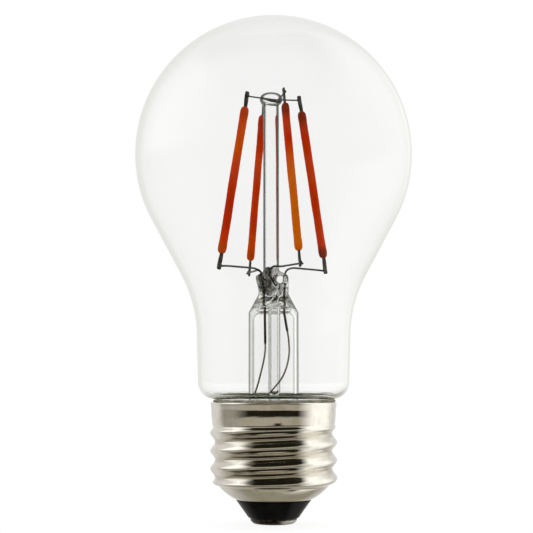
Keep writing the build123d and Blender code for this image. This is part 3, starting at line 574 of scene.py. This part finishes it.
def place(piece, slot, *nodes):
    """Rides a finished piece on the lamp and hides the CAD nodes that it stands for; slot is not used."""
    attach(piece, "root")
    if nodes:
        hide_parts(*nodes)
    return piece


# ---------------------------------------------------------------- glass envelope
BULB_R, GLASS_WALL = 29.0, 0.7
BULB_Z = globe_top.z - BULB_R
NECK_R, NECK_TOP_Z, NECK_BOTTOM_R = 15.93, 38.0, 15.65
WAIST_R, SHOULDER_R, SHOULDER_Z = 27.5, 3.5, 28.9
COLLAR_GLASS_R, COLLAR_FILLET = 11.6, 0.55


def envelope_profile(inset):
    """The envelope's outline from its crown down to its end inside the cap, moved in by inset."""
    round_r, waist_r = BULB_R - inset, WAIST_R + inset
    waist_x = NECK_R + WAIST_R
    reach = math.hypot(waist_x, NECK_TOP_Z - BULB_Z)
    lean = math.degrees(math.atan2(BULB_Z - NECK_TOP_Z, waist_x) - math.acos((BULB_R + WAIST_R) / reach))
    fillet_z = SHOULDER_Z - SHOULDER_R - COLLAR_FILLET
    profile = arc(0, BULB_Z, round_r, 90, -lean, 84)
    profile[0] = (0.0, profile[0][1])
    profile += arc(waist_x, NECK_TOP_Z, waist_r, 180 - lean, 180, 20)
    profile += arc(NECK_BOTTOM_R - SHOULDER_R, SHOULDER_Z, SHOULDER_R - inset, 0, -90, 14)
    profile += arc(NECK_BOTTOM_R - SHOULDER_R, fillet_z, COLLAR_FILLET + inset, 90, 180, 6)
    profile.append((COLLAR_GLASS_R - inset, GLASS_END_Z))
    return divided(profile, 1.6)


def envelope_wobble(angle, r, z):
    """Blown glass is never quite round: a few hundredths of a millimetre, fading out at the cap."""
    fade = ease(z, RIM_Z, RIM_Z + 4)
    x, y = math.cos(angle), math.sin(angle)
    return fade * 0.035 * lumps(x * 14, y * 14, z, 12) * min(1, r / 8)


profile = envelope_profile(0) + envelope_profile(GLASS_WALL)[::-1]
envelope = turned("glass_globe", profile, 224, [envelope_glass], envelope_wobble, glass=True)
place(envelope, "envelope_glass", "glass_envelope")

# ---------------------------------------------------------------- glass stem, one fused piece of glass
STEM_SEGMENTS = 96
TUBE_R, TUBE_WALL = 5.2, 0.8
FLARE_EDGE, FLARE_CURVE_Z, TUBE_BEND_Z = 0.9, 18.9, 25.2  # the flare's rim, its curve and the tube's start
TUBE_TOP_Z, ROD_START_Z = 43.2, 53.4
FLARE_RIM_R = COLLAR_GLASS_R - GLASS_WALL - 0.03
PRESS_HALF_WIDTH, PRESS_HALF_DEPTH, PRESS_LEAN = 3.13, 1.8, 0.6  # it leans out at its upper left
EXHAUST_X, EXHAUST_R, EXHAUST_BORE_R = 0.15, 1.25, 0.8
EXHAUST_FOOT, EXHAUST_TIP = 0.5, 3.2  # fillet where the tube leaves the dome; length of its drawn-out tip
DOME_START_Z = 41.8
MOUTH_DEPTH, MOUTH_R, MOUTH_LIP = 1.35, 1.35, 0.16  # the blow hole's open mouth
rod_x = (rod_low.x + rod_top.x) / 2
rod_r = (rod_top.x - rod_low.x) / 2
button_r = (button_top.x - button_low.x) / 2


def flare_radius(z, rim_r, tube_r, rim_z):
    """The flare's curve from the tube out to its rim."""
    if z >= TUBE_BEND_Z:
        return tube_r
    across, up = rim_r - tube_r, TUBE_BEND_Z - rim_z
    bend = (across**2 + up**2) / (2 * across)
    return min(rim_r, tube_r + bend - math.sqrt(max(bend**2 - (TUBE_BEND_Z - max(z, rim_z)) ** 2, 0)))


def stem_section(z):
    """Left edge, right edge and half depth of the stem's outside at a height."""
    if z <= TUBE_TOP_Z + 0.2:
        r = flare_radius(z, FLARE_RIM_R, TUBE_R, flare_low.z + FLARE_EDGE)
        return -r, r, r
    shoulder = ease(z, TUBE_TOP_Z, 47.6)
    width = TUBE_R + (PRESS_HALF_WIDTH - TUBE_R) * (0.25 * shoulder + 0.75 * min(1, (z - TUBE_TOP_Z) / 4.0))
    depth = TUBE_R + (PRESS_HALF_DEPTH - TUBE_R) * ease(z, 42.9, 47.0)
    left, right = -width, width
    if z > BULGE.z:
        right = BULGE.x + math.sqrt(max(BULGE_R**2 - (z - BULGE.z) ** 2, 0))
    left -= PRESS_LEAN * ease(z, 47.6, 50.8) * ease(z, 52.0, 50.9)
    left += (rod_x - rod_r + PRESS_HALF_WIDTH) * ease(z, 50.9, 52.2)
    depth += (rod_r - PRESS_HALF_DEPTH) * ease(z, 50.8, 53.0)
    blend = ease(z, 51.2, 52.6)
    right = right * (1 - blend) + (rod_x + rod_r) * blend
    return left, right, depth


def stem_ring(z):
    """The outline at a height, with the blow hole's open mouth sunk into the front of the swelling."""
    left, right, depth = stem_section(z)
    ring = []
    for x, y, _ in circle((right - left) / 2, z, STEM_SEGMENTS, (left + right) / 2, 0, depth):
        away = math.hypot(x - BULGE.x, z - BULGE.z)
        if y < 0:
            lip = MOUTH_LIP * math.exp(-(((away - MOUTH_R - 0.15) / 0.25) ** 2))
            y += MOUTH_DEPTH * (1 - ease(away, 0.6, MOUTH_R)) - lip
        else:
            y += 0.3 * (1 - ease(away, 0.2, BULGE_R))
        rough = ease(z, 43.8, 44.8) * ease(z, 53.0, 52.0)
        y += rough * 0.12 * lumps(x, y, z, 0.8)
        ring.append((x, y, z))
    return ring


levels = [flare_low.z + FLARE_EDGE * i / 2 for i in range(3)]
levels += [FLARE_CURVE_Z + (TUBE_BEND_Z - FLARE_CURVE_Z) * i / 16 for i in range(1, 17)]
levels += [TUBE_BEND_Z + (TUBE_TOP_Z - TUBE_BEND_Z) * i / 12 for i in range(1, 13)]
levels += [TUBE_TOP_Z + (ROD_START_Z - TUBE_TOP_Z) * i / 52 for i in range(1, 53)]
outer_rings = [stem_ring(z) for z in levels]
rod_levels = [ROD_START_Z + (button_low.z - 0.5 - ROD_START_Z) * i / 14 for i in range(1, 15)]
for z in rod_levels:
    swell = 1 + 0.012 * lumps(0, 0, z, 6)
    outer_rings.append(circle(rod_r * swell, z, STEM_SEGMENTS, rod_x + 0.02 * lumps(3, 0, z, 9)))
bead_low, bead_high = button_low.z - 0.25, button_top.z
bead_z, bead_half = (bead_low + bead_high) / 2, (bead_high - bead_low) / 2
for i in range(1, 20):
    a = math.radians(-78 + (78 + 86) * i / 20)
    r = max(rod_r if a < 0 else 0, button_r * math.cos(a) ** 0.62)
    outer_rings.append(circle(r, bead_z + bead_half * math.sin(a), STEM_SEGMENTS, rod_x))
outer_rings.append(circle(0, bead_high - 0.05, STEM_SEGMENTS, rod_x))

# the inside of the flare tube, the dome under the press and the outside of the exhaust tube
bore_r = TUBE_R - TUBE_WALL
inner_rings = []
for z in levels:
    if z < DOME_START_Z:
        r = flare_radius(z, FLARE_RIM_R - 0.5, bore_r, flare_low.z)
        inner_rings.append(circle(r, z, STEM_SEGMENTS))
dome_z = exhaust_top.z
foot_r = EXHAUST_R + EXHAUST_FOOT
for i in range(1, 15):
    t = i / 14
    a = t * math.pi / 2
    r = foot_r + (bore_r - foot_r) * math.cos(a) ** 0.8 if i < 14 else foot_r
    z = DOME_START_Z + (dome_z - DOME_START_Z) * math.sin(a) ** 1.1
    inner_rings.append(circle(r, z, STEM_SEGMENTS, EXHAUST_X * t))
foot_z = dome_z - EXHAUST_FOOT
for i in range(1, 6):
    a = math.radians(90 * i / 5)
    r = foot_r - EXHAUST_FOOT * math.sin(a)
    inner_rings.append(circle(r, foot_z + EXHAUST_FOOT * math.cos(a), STEM_SEGMENTS, EXHAUST_X))
tip_z = exhaust_low.z
for i in range(1, 13):
    z = foot_z - (foot_z - tip_z - EXHAUST_TIP) * i / 12
    inner_rings.append(circle(EXHAUST_R * (1 + 0.01 * lumps(9, 0, z, 5)), z, STEM_SEGMENTS, EXHAUST_X))
for i in range(1, 12):
    a = math.radians(90 * i / 12)
    z = tip_z + EXHAUST_TIP * (1 - math.sin(a))
    inner_rings.append(circle(EXHAUST_R * math.cos(a) ** 0.8, z, STEM_SEGMENTS, EXHAUST_X))
inner_rings.append(circle(0, tip_z, STEM_SEGMENTS, EXHAUST_X))
outer = outer_rings[::-1] + inner_rings
glass_points, glass_faces = skin(outer)


def tunnel_rings():
    """The exhaust tube's bore from its sealed tip up, going on as a channel that ends under the blow hole."""
    seal_z, straight_z, bend_z, end_z = tip_z + 1.6, tip_z + 3.4, dome_z - 0.4, 48.9
    rings = [circle(0, seal_z, 48, EXHAUST_X)]
    for i in range(1, 8):
        a = math.radians(90 * i / 7)
        z = seal_z + (straight_z - seal_z) * (1 - math.cos(a))
        rings.append(circle(EXHAUST_BORE_R * math.sin(a), z, 48, EXHAUST_X))
    for i in range(1, 12):
        rings.append(circle(EXHAUST_BORE_R, straight_z + (bend_z - straight_z) * i / 11, 48, EXHAUST_X))
    for i in range(1, 15):
        t = i / 14
        r = EXHAUST_BORE_R + (0.5 - EXHAUST_BORE_R) * ease(t, 0, 0.7)
        x = EXHAUST_X + (BULGE.x - EXHAUST_X) * ease(t, 0.1, 1)
        rings.append(circle(r, bend_z + (end_z - bend_z) * t, 48, x, -0.3 * t))
    rings.append(circle(0, end_z + 0.2, 48, BULGE.x, -0.3))
    return rings


def small_bubble(x, y, z, r, flat):
    """A hollow in the glass, flat times as tall as it is wide."""
    rings = [circle(0, z - r * flat, 12, x, y)]
    for i in range(1, 8):
        a = math.radians(-90 + 180 * i / 8)
        rings.append(circle(r * math.cos(a), z + r * flat * math.sin(a), 12, x, y))
    rings.append(circle(0, z + r * flat, 12, x, y))
    return skin(rings)


bubbles = []
for _ in range(46):
    z = random.uniform(45.2, 50.8)
    left, right, depth = stem_section(z)
    x = random.uniform(left * 0.86, min(right * 0.8, 0.1) if z > 47.6 else right * 0.8)
    r = random.uniform(0.06, 0.2)
    limit = max(0.05, depth - r - 0.35)
    y = random.uniform(-limit, limit) * 0.9
    inside_bore = math.hypot(x - EXHAUST_X, y) < EXHAUST_BORE_R + r + 0.15 and z < 48.8
    under_dome = z < dome_z + 0.5 + r
    if not inside_bore and not under_dome:
        bubbles.append(small_bubble(x, y, z, r, random.uniform(0.7, 1.6)))
stem_points, stem_faces = join((glass_points, glass_faces), skin(tunnel_rings()), *bubbles)
stem_materials = [tube_glass, press_glass, rod_glass, exhaust_glass]


def stem_material(face):
    """Which of the stem's glasses a face is made of, by its height and how near it is to the exhaust tube."""
    corners = [stem_points[i] for i in face]
    z = sum(corner[2] for corner in corners) / len(corners)
    if z > 52.9:
        return stem_materials.index(rod_glass)
    if z > PRESS_LOW_Z:
        return stem_materials.index(press_glass)
    on_exhaust = all(math.hypot(x - EXHAUST_X, y) < EXHAUST_R * 1.1 for x, y, _ in corners)
    return stem_materials.index(exhaust_glass if on_exhaust else tube_glass)


stem_slots = [stem_material(face) for face in stem_faces]
stem = make_object("glass_stem", stem_points, stem_faces, stem_materials, stem_slots, glass=True)
place(stem, "stem_glass", "flare_tube", "stem_press", "exhaust_tube", "stem_rod", "top_button")


# ---------------------------------------------------------------- filaments
def end_point(node, top):
    """The middle of a filament's tab at its free end, from the CAD mesh."""
    vertices = frame["nodes"][node].data.vertices
    places = sorted({tuple(round(c / MM, 4) for c in v.co) for v in vertices}, key=lambda p: p[2])
    chosen = places[-4:] if top else places[:4]
    return sum((Vector(p) for p in chosen), Vector()) / 4


def axis_frame(low, high):
    """Unit vectors along a filament, outwards from the lamp's axis, and sideways."""
    along = (high - low).normalized()
    outward = Vector((low.x, low.y, 0)).normalized()
    outward = (outward - along * outward.dot(along)).normalized()
    return along, outward, along.cross(outward)


def bar_rings(low, along, wide, thick, stations, segments, power=2.0):
    """Rings along a bar. A station is (distance, half width, half thickness, shift wide, shift thick)."""
    rings = []
    for distance, a, b, shift_w, shift_t in stations:
        ring = []
        for k in range(segments):
            c, s = math.cos(TAU * k / segments), math.sin(TAU * k / segments)
            x = a * math.copysign(abs(c) ** (2 / power), c) + shift_w
            y = b * math.copysign(abs(s) ** (2 / power), s) + shift_t
            ring.append(tuple(low + along * distance + wide * x + thick * y))
        rings.append(ring)
    centre_one = low + along * stations[0][0] + wide * stations[0][3] + thick * stations[0][4]
    centre_two = low + along * stations[-1][0] + wide * stations[-1][3] + thick * stations[-1][4]
    return [[tuple(centre_one)], *rings, [tuple(centre_two)]]


COATING_INSET, COATING_WIDTH, COATING_THICK, CHIP_COUNT = 3.4, 1.75, 1.55, 28
TAB_WIDTH, TAB_THICK = 0.9, 0.3
welds = []
for number in range(1, 5):
    tabs = f"filament_{number}_end_tabs"
    low, high = end_point(tabs, False), end_point(tabs, True)
    along, wide, thick = axis_frame(low, high)
    length = (high - low).length
    start, end = COATING_INSET, length - COATING_INSET
    stations = []
    count = 170
    for i in range(count + 1):
        s = i / count
        d = start + (end - start) * s
        from_end = min(d - start, end - d)
        blob = math.sqrt(max(0.0, 1 - (1 - min(from_end / 0.9, 1)) ** 2))
        shape = 0.36 + 0.64 * blob
        shape += 0.07 * math.exp(-(((from_end - 1.5) / 0.9) ** 2))
        chips = 0.012 * math.cos(TAU * CHIP_COUNT * s) * ease(from_end, 2, 4)
        slow = 0.05 * lumps(number * 7, 0, d, 4.5) + 0.025 * lumps(0, number * 5, d, 1.3)
        scale = shape * (1 + slow) + chips
        stations.append(
            (
                d,
                scale * COATING_WIDTH / 2,
                scale * COATING_THICK / 2,
                0.05 * lumps(0, 3 * number, d, 6),
                0.05 * lumps(5 * number, 1, d, 6),
            )
        )
    rings = bar_rings(low, along, wide, thick, stations, 40)
    body = make_object(f"filament_{number}_body", *skin(rings), [phosphor])
    place(body, "phosphor_silicone", f"filament_{number}_coating")

    tab_meshes = []
    for top in (False, True):
        base = high if top else low
        direction = -along if top else along
        stations = []
        for i in range(31):
            d = 0.02 + 4.3 * i / 30
            crimp = 1 - 0.3 * math.exp(-(((d - 0.9) / 0.28) ** 2))
            neck = 1 - 0.12 * ease(d, 2.0, 3.2)
            corner = math.sqrt(max(0.05, 1 - (1 - min(d / 0.12, 1)) ** 2))
            bend = 0.05 * math.sin(d * 1.1 + number) * ease(d, 0, 1)
            stations.append((d, TAB_WIDTH / 2 * neck * corner, TAB_THICK / 2 * crimp * corner, bend, 0))
        side = thick if not top else -thick
        tab_meshes.append(skin(bar_rings(base, direction, wide, side, stations, 20, power=5)))
        welds.append((base + direction * 0.9, along, wide, thick))
    tab_piece = make_object(f"filament_{number}_tabs", *join(*tab_meshes), [tab_metal])
    place(tab_piece, "filament_tab", tabs)

# the weld at each tab: the wire pressed into a rough nugget of metal
weld_meshes = []
for index, (centre, along, wide, thick) in enumerate(welds):
    rings = []
    for i in range(11):
        a = math.radians(-90 + 180 * i / 10)
        ring = []
        for k in range(16 if 0 < i < 10 else 1):
            b = TAU * k / 16
            rough = 1 + 0.28 * lumps(math.cos(b) + index * 3, math.sin(b), 2 * math.sin(a), 0.8)
            p = wide * (0.52 * math.sin(a))
            p = p + thick * (0.3 * math.cos(a) * math.cos(b)) + along * (0.36 * math.cos(a) * math.sin(b))
            ring.append(tuple(centre + thick * 0.17 + p * rough))
        rings.append(ring)
    weld_meshes.append(skin(rings))
weld_piece = make_object("weld_nuggets", *join(*weld_meshes), [tab_metal])
place(weld_piece, "filament_tab")

# ---------------------------------------------------------------- screw cap
PITCH, CREST_R, ROOT_R, CREST_Z = 3.629, 13.1, 12.1, 12.99
THREAD_LOW_Z, THREAD_TOP_Z, SHELL_WALL = 7.5, 20.2, 0.3
COLLAR_R, CONE_TOP_R = 12.68, 11.2
SHELL_END_Z, SHELL_END_R = shell_low.z, 7.8
CAP_SEGMENTS = 300


def thread_radius(turn, z):
    """The shell's outside radius at a part of a turn and a height; the thread runs into collar and cone."""
    r = (CREST_R + ROOT_R) / 2 + (CREST_R - ROOT_R) / 2 * math.cos(TAU * ((z - CREST_Z) / PITCH - turn))
    r += (COLLAR_R - r) * ease(z, THREAD_TOP_Z - 0.95, THREAD_TOP_Z)
    low = min(max((THREAD_LOW_Z + 1.1 - z) / 1.05, 0), 1)
    return r + (CONE_TOP_R - r) * low**2 * (2.25 - 1.25 * low)


PUNCH_MARKS = [TAU * (0.76 + k / 4) for k in range(4)]  # where the shell is punched into the cement
PUNCH_Z, PUNCH_DEPTH = 20.9, 0.045


def cap_row(r, z, inset=0.0, threaded=False):
    """One ring of the shell. A threaded ring takes its radius from the thread."""
    ring = []
    for k in range(CAP_SEGMENTS):
        turn = k / CAP_SEGMENTS
        a = TAU * turn
        rr = thread_radius(turn, z) if threaded else r
        x, y = math.cos(a), math.sin(a)
        rr += 0.03 * lumps(13 * x, 13 * y, z * 1.4, 5.5) + 0.006 * lumps(13 * x, 13 * y, z * 3, 1.8)
        for mark in PUNCH_MARKS:
            off = math.atan2(math.sin(a - mark), math.cos(a - mark)) * 13
            rr -= PUNCH_DEPTH * math.exp(-((off / 0.9) ** 2) - ((z - PUNCH_Z) / 0.32) ** 2)
        ring.append(((rr - inset) * x, (rr - inset) * y, z))
    return ring


rows = []
lip = [
    (12.52, RIM_Z - 0.35, 0),
    (12.52, RIM_Z, 0.12),
    (12.86, RIM_Z, 0.2),
    (13.05, RIM_Z - 0.2, 0.2),
    (13.0, RIM_Z - 0.75, 0.25),
    (12.87, RIM_Z - 1.45, 0.25),
    (12.86, RIM_Z - 2.75, 0.4),
    (COLLAR_R, THREAD_TOP_Z, 0),
]
for r, z in divided(rounded(lip, 4), 0.25):
    rows.append(cap_row(r, z))
thread_rows = 110
for i in range(1, thread_rows + 1):
    z = THREAD_TOP_Z - (THREAD_TOP_Z - THREAD_LOW_Z) * i / thread_rows
    rows.append(cap_row(0, z, threaded=True))
cone = [(CONE_TOP_R, THREAD_LOW_Z), (9.55, 6.0), (SHELL_END_R, SHELL_END_Z + 0.05)]
for i in range(1, 19):
    t = i / 18
    a, b, c = (Vector(p) for p in cone)
    b = b * 2 - (a + c) / 2
    p = a * (1 - t) ** 2 + b * 2 * t * (1 - t) + c * t**2
    rows.append(cap_row(p.x, p.y))
rows.append(cap_row(SHELL_END_R - 0.1, SHELL_END_Z))
rows.append(cap_row(SHELL_END_R - 0.3, SHELL_END_Z + 0.02))
rows.append(cap_row(SHELL_END_R - 0.36, SHELL_END_Z + 0.35))
for i in range(8):
    t = i / 7
    p = cone[2][0] - 0.36 + (cone[0][0] - cone[2][0] + 0.02) * t
    rows.append(cap_row(p, 5.3 + (THREAD_LOW_Z - 5.3) * t**1.25))
for i in range(56):
    rows.append(cap_row(0, THREAD_LOW_Z + (THREAD_TOP_Z - THREAD_LOW_Z) * i / 55, SHELL_WALL, threaded=True))
shell = make_object("screw_shell", *skin(rows[::-1], closed=True), [nickel])
place(shell, "cap_nickel", "cap_shell")

insulator_profile = rounded(
    [
        (1.1, insulator_top.z - 2.2, 0),
        (1.1, insulator_low.z, 0.1),
        (5.15, insulator_low.z, 0.25),
        (7.76, SHELL_END_Z - 0.04, 0.1),
        (7.41, SHELL_END_Z - 0.04, 0.05),
        (7.41, 5.3, 0.1),
        (9.2, 6.4, 0.4),
        (10.8, 7.6, 0.2),
        (10.8, insulator_top.z, 0.1),
        (10.4, insulator_top.z, 0.3),
        (6.6, insulator_top.z - 2.2, 0.5),
        (1.1, insulator_top.z - 2.2, 0),
    ]
)
insulator = turned(
    "black_cone", divided(insulator_profile[:-1], 0.7), 160, [black_insulator],
    lambda a, r, z: 0.02 * lumps(8 * math.cos(a), 8 * math.sin(a), z, 3), closed=True,
)
place(insulator, "cap_black", "cap_insulator")

contact_profile = [(0.0, contact_low.z + 0.02)]
contact_profile += [(3.2 * i / 6, contact_low.z + 0.02 * (1 - i / 6)) for i in range(1, 7)]
contact_rim = [(3.4, 0.0, 0), (4.2, 0.08, 0.5), (4.78, 0.7, 0.4), (4.8, 1.18, 0.05), (1.06, 1.18, 0)]
contact_profile += rounded(contact_rim)
contact_profile += [(1.06, contact_top.z), (0.75, contact_top.z), (0.75, 0.5), (0.0, 0.5)]
contact = turned(
    "tip_contact", contact_profile, 96, [contact_metal],
    lambda a, r, z: 0.03 * lumps(6 * math.cos(a), 6 * math.sin(a), z, 2) if r > 3.5 else 0,
)
place(contact, "contact_metal", "centre_contact")


cement_low = box_mm("basing_cement")[0]
cement_rings = []
cement_outline = [
    (11.66, cement_low.z, 0, 0),
    (12.4, cement_low.z, 0, 0),
    (12.45, RIM_Z - 0.1, 0, 0),
    (12.62, RIM_Z + 0.04, 0.25, 0.0),
    (12.66, RIM_Z + 0.3, 0.3, 0.16),
    (12.5, RIM_Z + 0.46, 0.25, 0.14),
    (12.18, RIM_Z + 0.5, 0, 0.06),
    (11.66, RIM_Z + 0.1, 0, 0),
]
for r, z, spread, lift in cement_outline:
    ring = []
    for k in range(300):
        a = TAU * k / 300
        x, y = math.cos(a), math.sin(a)
        uneven = lumps(12 * x, 12 * y, 0, 0.8) + 1.2 * lumps(12 * x, 12 * y, 5, 3.5)
        ring.append(((r + spread * uneven) * x, (r + spread * uneven) * y, z + lift * uneven))
    cement_rings.append(ring)
cement = make_object("cement_ring", *skin(cement_rings, closed=True), [SLOT_MATERIALS["cement"]])
place(cement, "cement", "basing_cement")

# ---------------------------------------------------------------- studio
camera_data = bpy.data.cameras.new("camera")
camera_data.sensor_width = 36.0
camera_data.lens = 87.33
camera_data.clip_start = 0.01
camera_data.clip_end = 50
camera = bpy.data.objects.new("camera", camera_data)
camera.location = (-0.00147, -0.269, 0.028)
camera.rotation_euler = (math.radians(90 + 5.3), 0, 0)
bpy.context.scene.collection.objects.link(camera)
bpy.context.scene.camera = camera
bpy.context.scene.view_settings.view_transform = "Standard"

world = bpy.data.worlds.new("world")
bpy.context.scene.world = world
world.use_nodes = True
world.node_tree.nodes["Background"].inputs["Color"].default_value = (1, 1, 1, 1)
world.node_tree.nodes["Background"].inputs["Strength"].default_value = 1.0


def stage_material(name, colour, strength, diffuse):
    n = Nodes(name).set(Roughness=0.9)
    n.shader.inputs["Emission Color"].default_value = (*colour, 1)
    n.shader.inputs["Emission Strength"].default_value = strength
    fibre = n.noise(40, detail=4)
    return n.finish(colour=n.ramp(fibre, (0.3, diffuse * 0.97), (0.7, diffuse)))


def floor():
    """A pale lit table top."""
    ring = [circle(r, 0, 96) for r in (0, 60, 150, 400, 1200, 4000)]
    table = make_object("floor", *skin(ring), [stage_material("floor", (1, 1, 1), 0.88, 0.1)])
    table.location.z = -0.00005
    table.visible_glossy = False


def reflection_dome():
    """What shiny surfaces mirror: soft panels at both sides, a dark front, a dim floor and ceiling."""
    rings = [circle(0, -2500, 64)]
    for i in range(1, 32):
        a = math.radians(-90 + 180 * i / 32)
        rings.append(circle(2500 * math.cos(a), 2500 * math.sin(a), 64))
    rings.append(circle(0, 2500, 64))
    n = Nodes("reflection_dome")
    axes = n.tree.nodes.new("ShaderNodeSeparateXYZ")
    n.link(n.place, axes.inputs[0])
    x, y, z = axes.outputs
    azimuth = n.math("MULTIPLY", n.math("ARCTAN2", x, n.math("MULTIPLY", y, -1)), 180 / math.pi)
    level = n.math("SQRT", n.math("ADD", n.math("MULTIPLY", x, x), n.math("MULTIPLY", y, y)))
    rise = n.math("MULTIPLY", n.math("ARCTAN2", z, level), 180 / math.pi)

    def by_rise(*stops):
        """Tones by degrees above the horizon."""
        places = [((degrees + 90) / 180, tone) for degrees, tone in stops]
        return n.ramp(n.span(rise, -90, 90, 0, 1), *places, smooth=False)

    tan, dark, grey = (0.46, 0.425, 0.34), (0.014, 0.012, 0.007), (0.1, 0.09, 0.07)
    low, dull, olive = (0.34, 0.315, 0.25), (0.36, 0.34, 0.29), (0.24, 0.225, 0.18)
    panel, right_panel = (1.45, 1.44, 1.41), (1.4, 1.38, 1.34)
    front = by_rise(
        (-90, tan), (-76, tan), (-69, dark), (-38, dark), (-30, grey), (-23, tan), (-9, tan), (-6, dark),
        (5, dark), (9, tan), (32, tan), (40, grey), (48, dark), (90, dark),
    )
    left = by_rise(
        (-90, tan), (-68, tan), (-58, grey), (-44, grey), (-34, tan), (-14, (0.5, 0.48, 0.44)),
        (-6, dull), (3, dull), (9, panel), (50, panel), (60, olive),
    )
    right = by_rise((-90, (0.9, 0.88, 0.83)), (-30, (1.2, 1.18, 1.13)), (0, right_panel), (90, right_panel))
    far_left = by_rise((-90, low), (-55, low), (-25, (0.82, 0.81, 0.78)), (90, (0.84, 0.83, 0.81)))
    behind = by_rise((-90, low), (-42, low), (-10, (0.82, 0.81, 0.79)), (90, (0.9, 0.9, 0.89)))
    # the front's tones reach further round to both sides high up and low down
    steep = n.math("MAXIMUM", n.math("SUBTRACT", n.math("ABSOLUTE", rise), 45.0), 0.0)
    from_right = n.math("SUBTRACT", azimuth, n.math("MULTIPLY", steep, 2.2))
    from_left = n.math("ADD", azimuth, n.math("MULTIPLY", steep, 1.2))
    colour = n.mix(n.span(from_right, 46, 78, 0, 1), front, right)
    colour = n.mix(n.span(from_left, -47, -80, 0, 1), colour, left)
    colour = n.mix(n.span(azimuth, -104, -122, 0, 1), colour, far_left)
    sides = n.math("MAXIMUM", n.span(azimuth, 112, 140, 0, 1), n.span(azimuth, -150, -165, 0, 1))
    colour = n.mix(sides, colour, behind)
    light = n.tree.nodes.new("ShaderNodeEmission")
    n.link(colour, light.inputs["Color"])
    n.link(light.outputs[0], n.output.inputs["Surface"])
    n.tree.nodes.remove(n.shader)
    n.material.cycles.emission_sampling = "NONE"
    dome = make_object("reflection_dome", *skin(rings), [n.material])
    for kind in ("camera", "diffuse", "transmission", "volume_scatter", "shadow"):
        setattr(dome, f"visible_{kind}", False)


def softbox(name, place, target, size, watts):
    """A soft area light aimed at a point; only its light is seen, not the lamp itself."""
    data = bpy.data.lights.new(name, "AREA")
    data.shape = "RECTANGLE"
    data.size, data.size_y = size
    data.energy = watts
    lamp = bpy.data.objects.new(name, data)
    lamp.location = place
    lamp.rotation_euler = (Vector(target) - Vector(place)).to_track_quat("-Z", "Y").to_euler()
    for kind in ("camera", "glossy", "transmission"):
        setattr(lamp, f"visible_{kind}", False)
    bpy.context.scene.collection.objects.link(lamp)


floor()
reflection_dome()
middle = (0, 0, 0.06)
softbox("left_softbox", (-0.7, -0.25, 0.25), middle, (0.3, 0.6), 1.2)
softbox("right_softbox", (0.75, -0.1, 0.3), middle, (0.4, 0.6), 1.6)
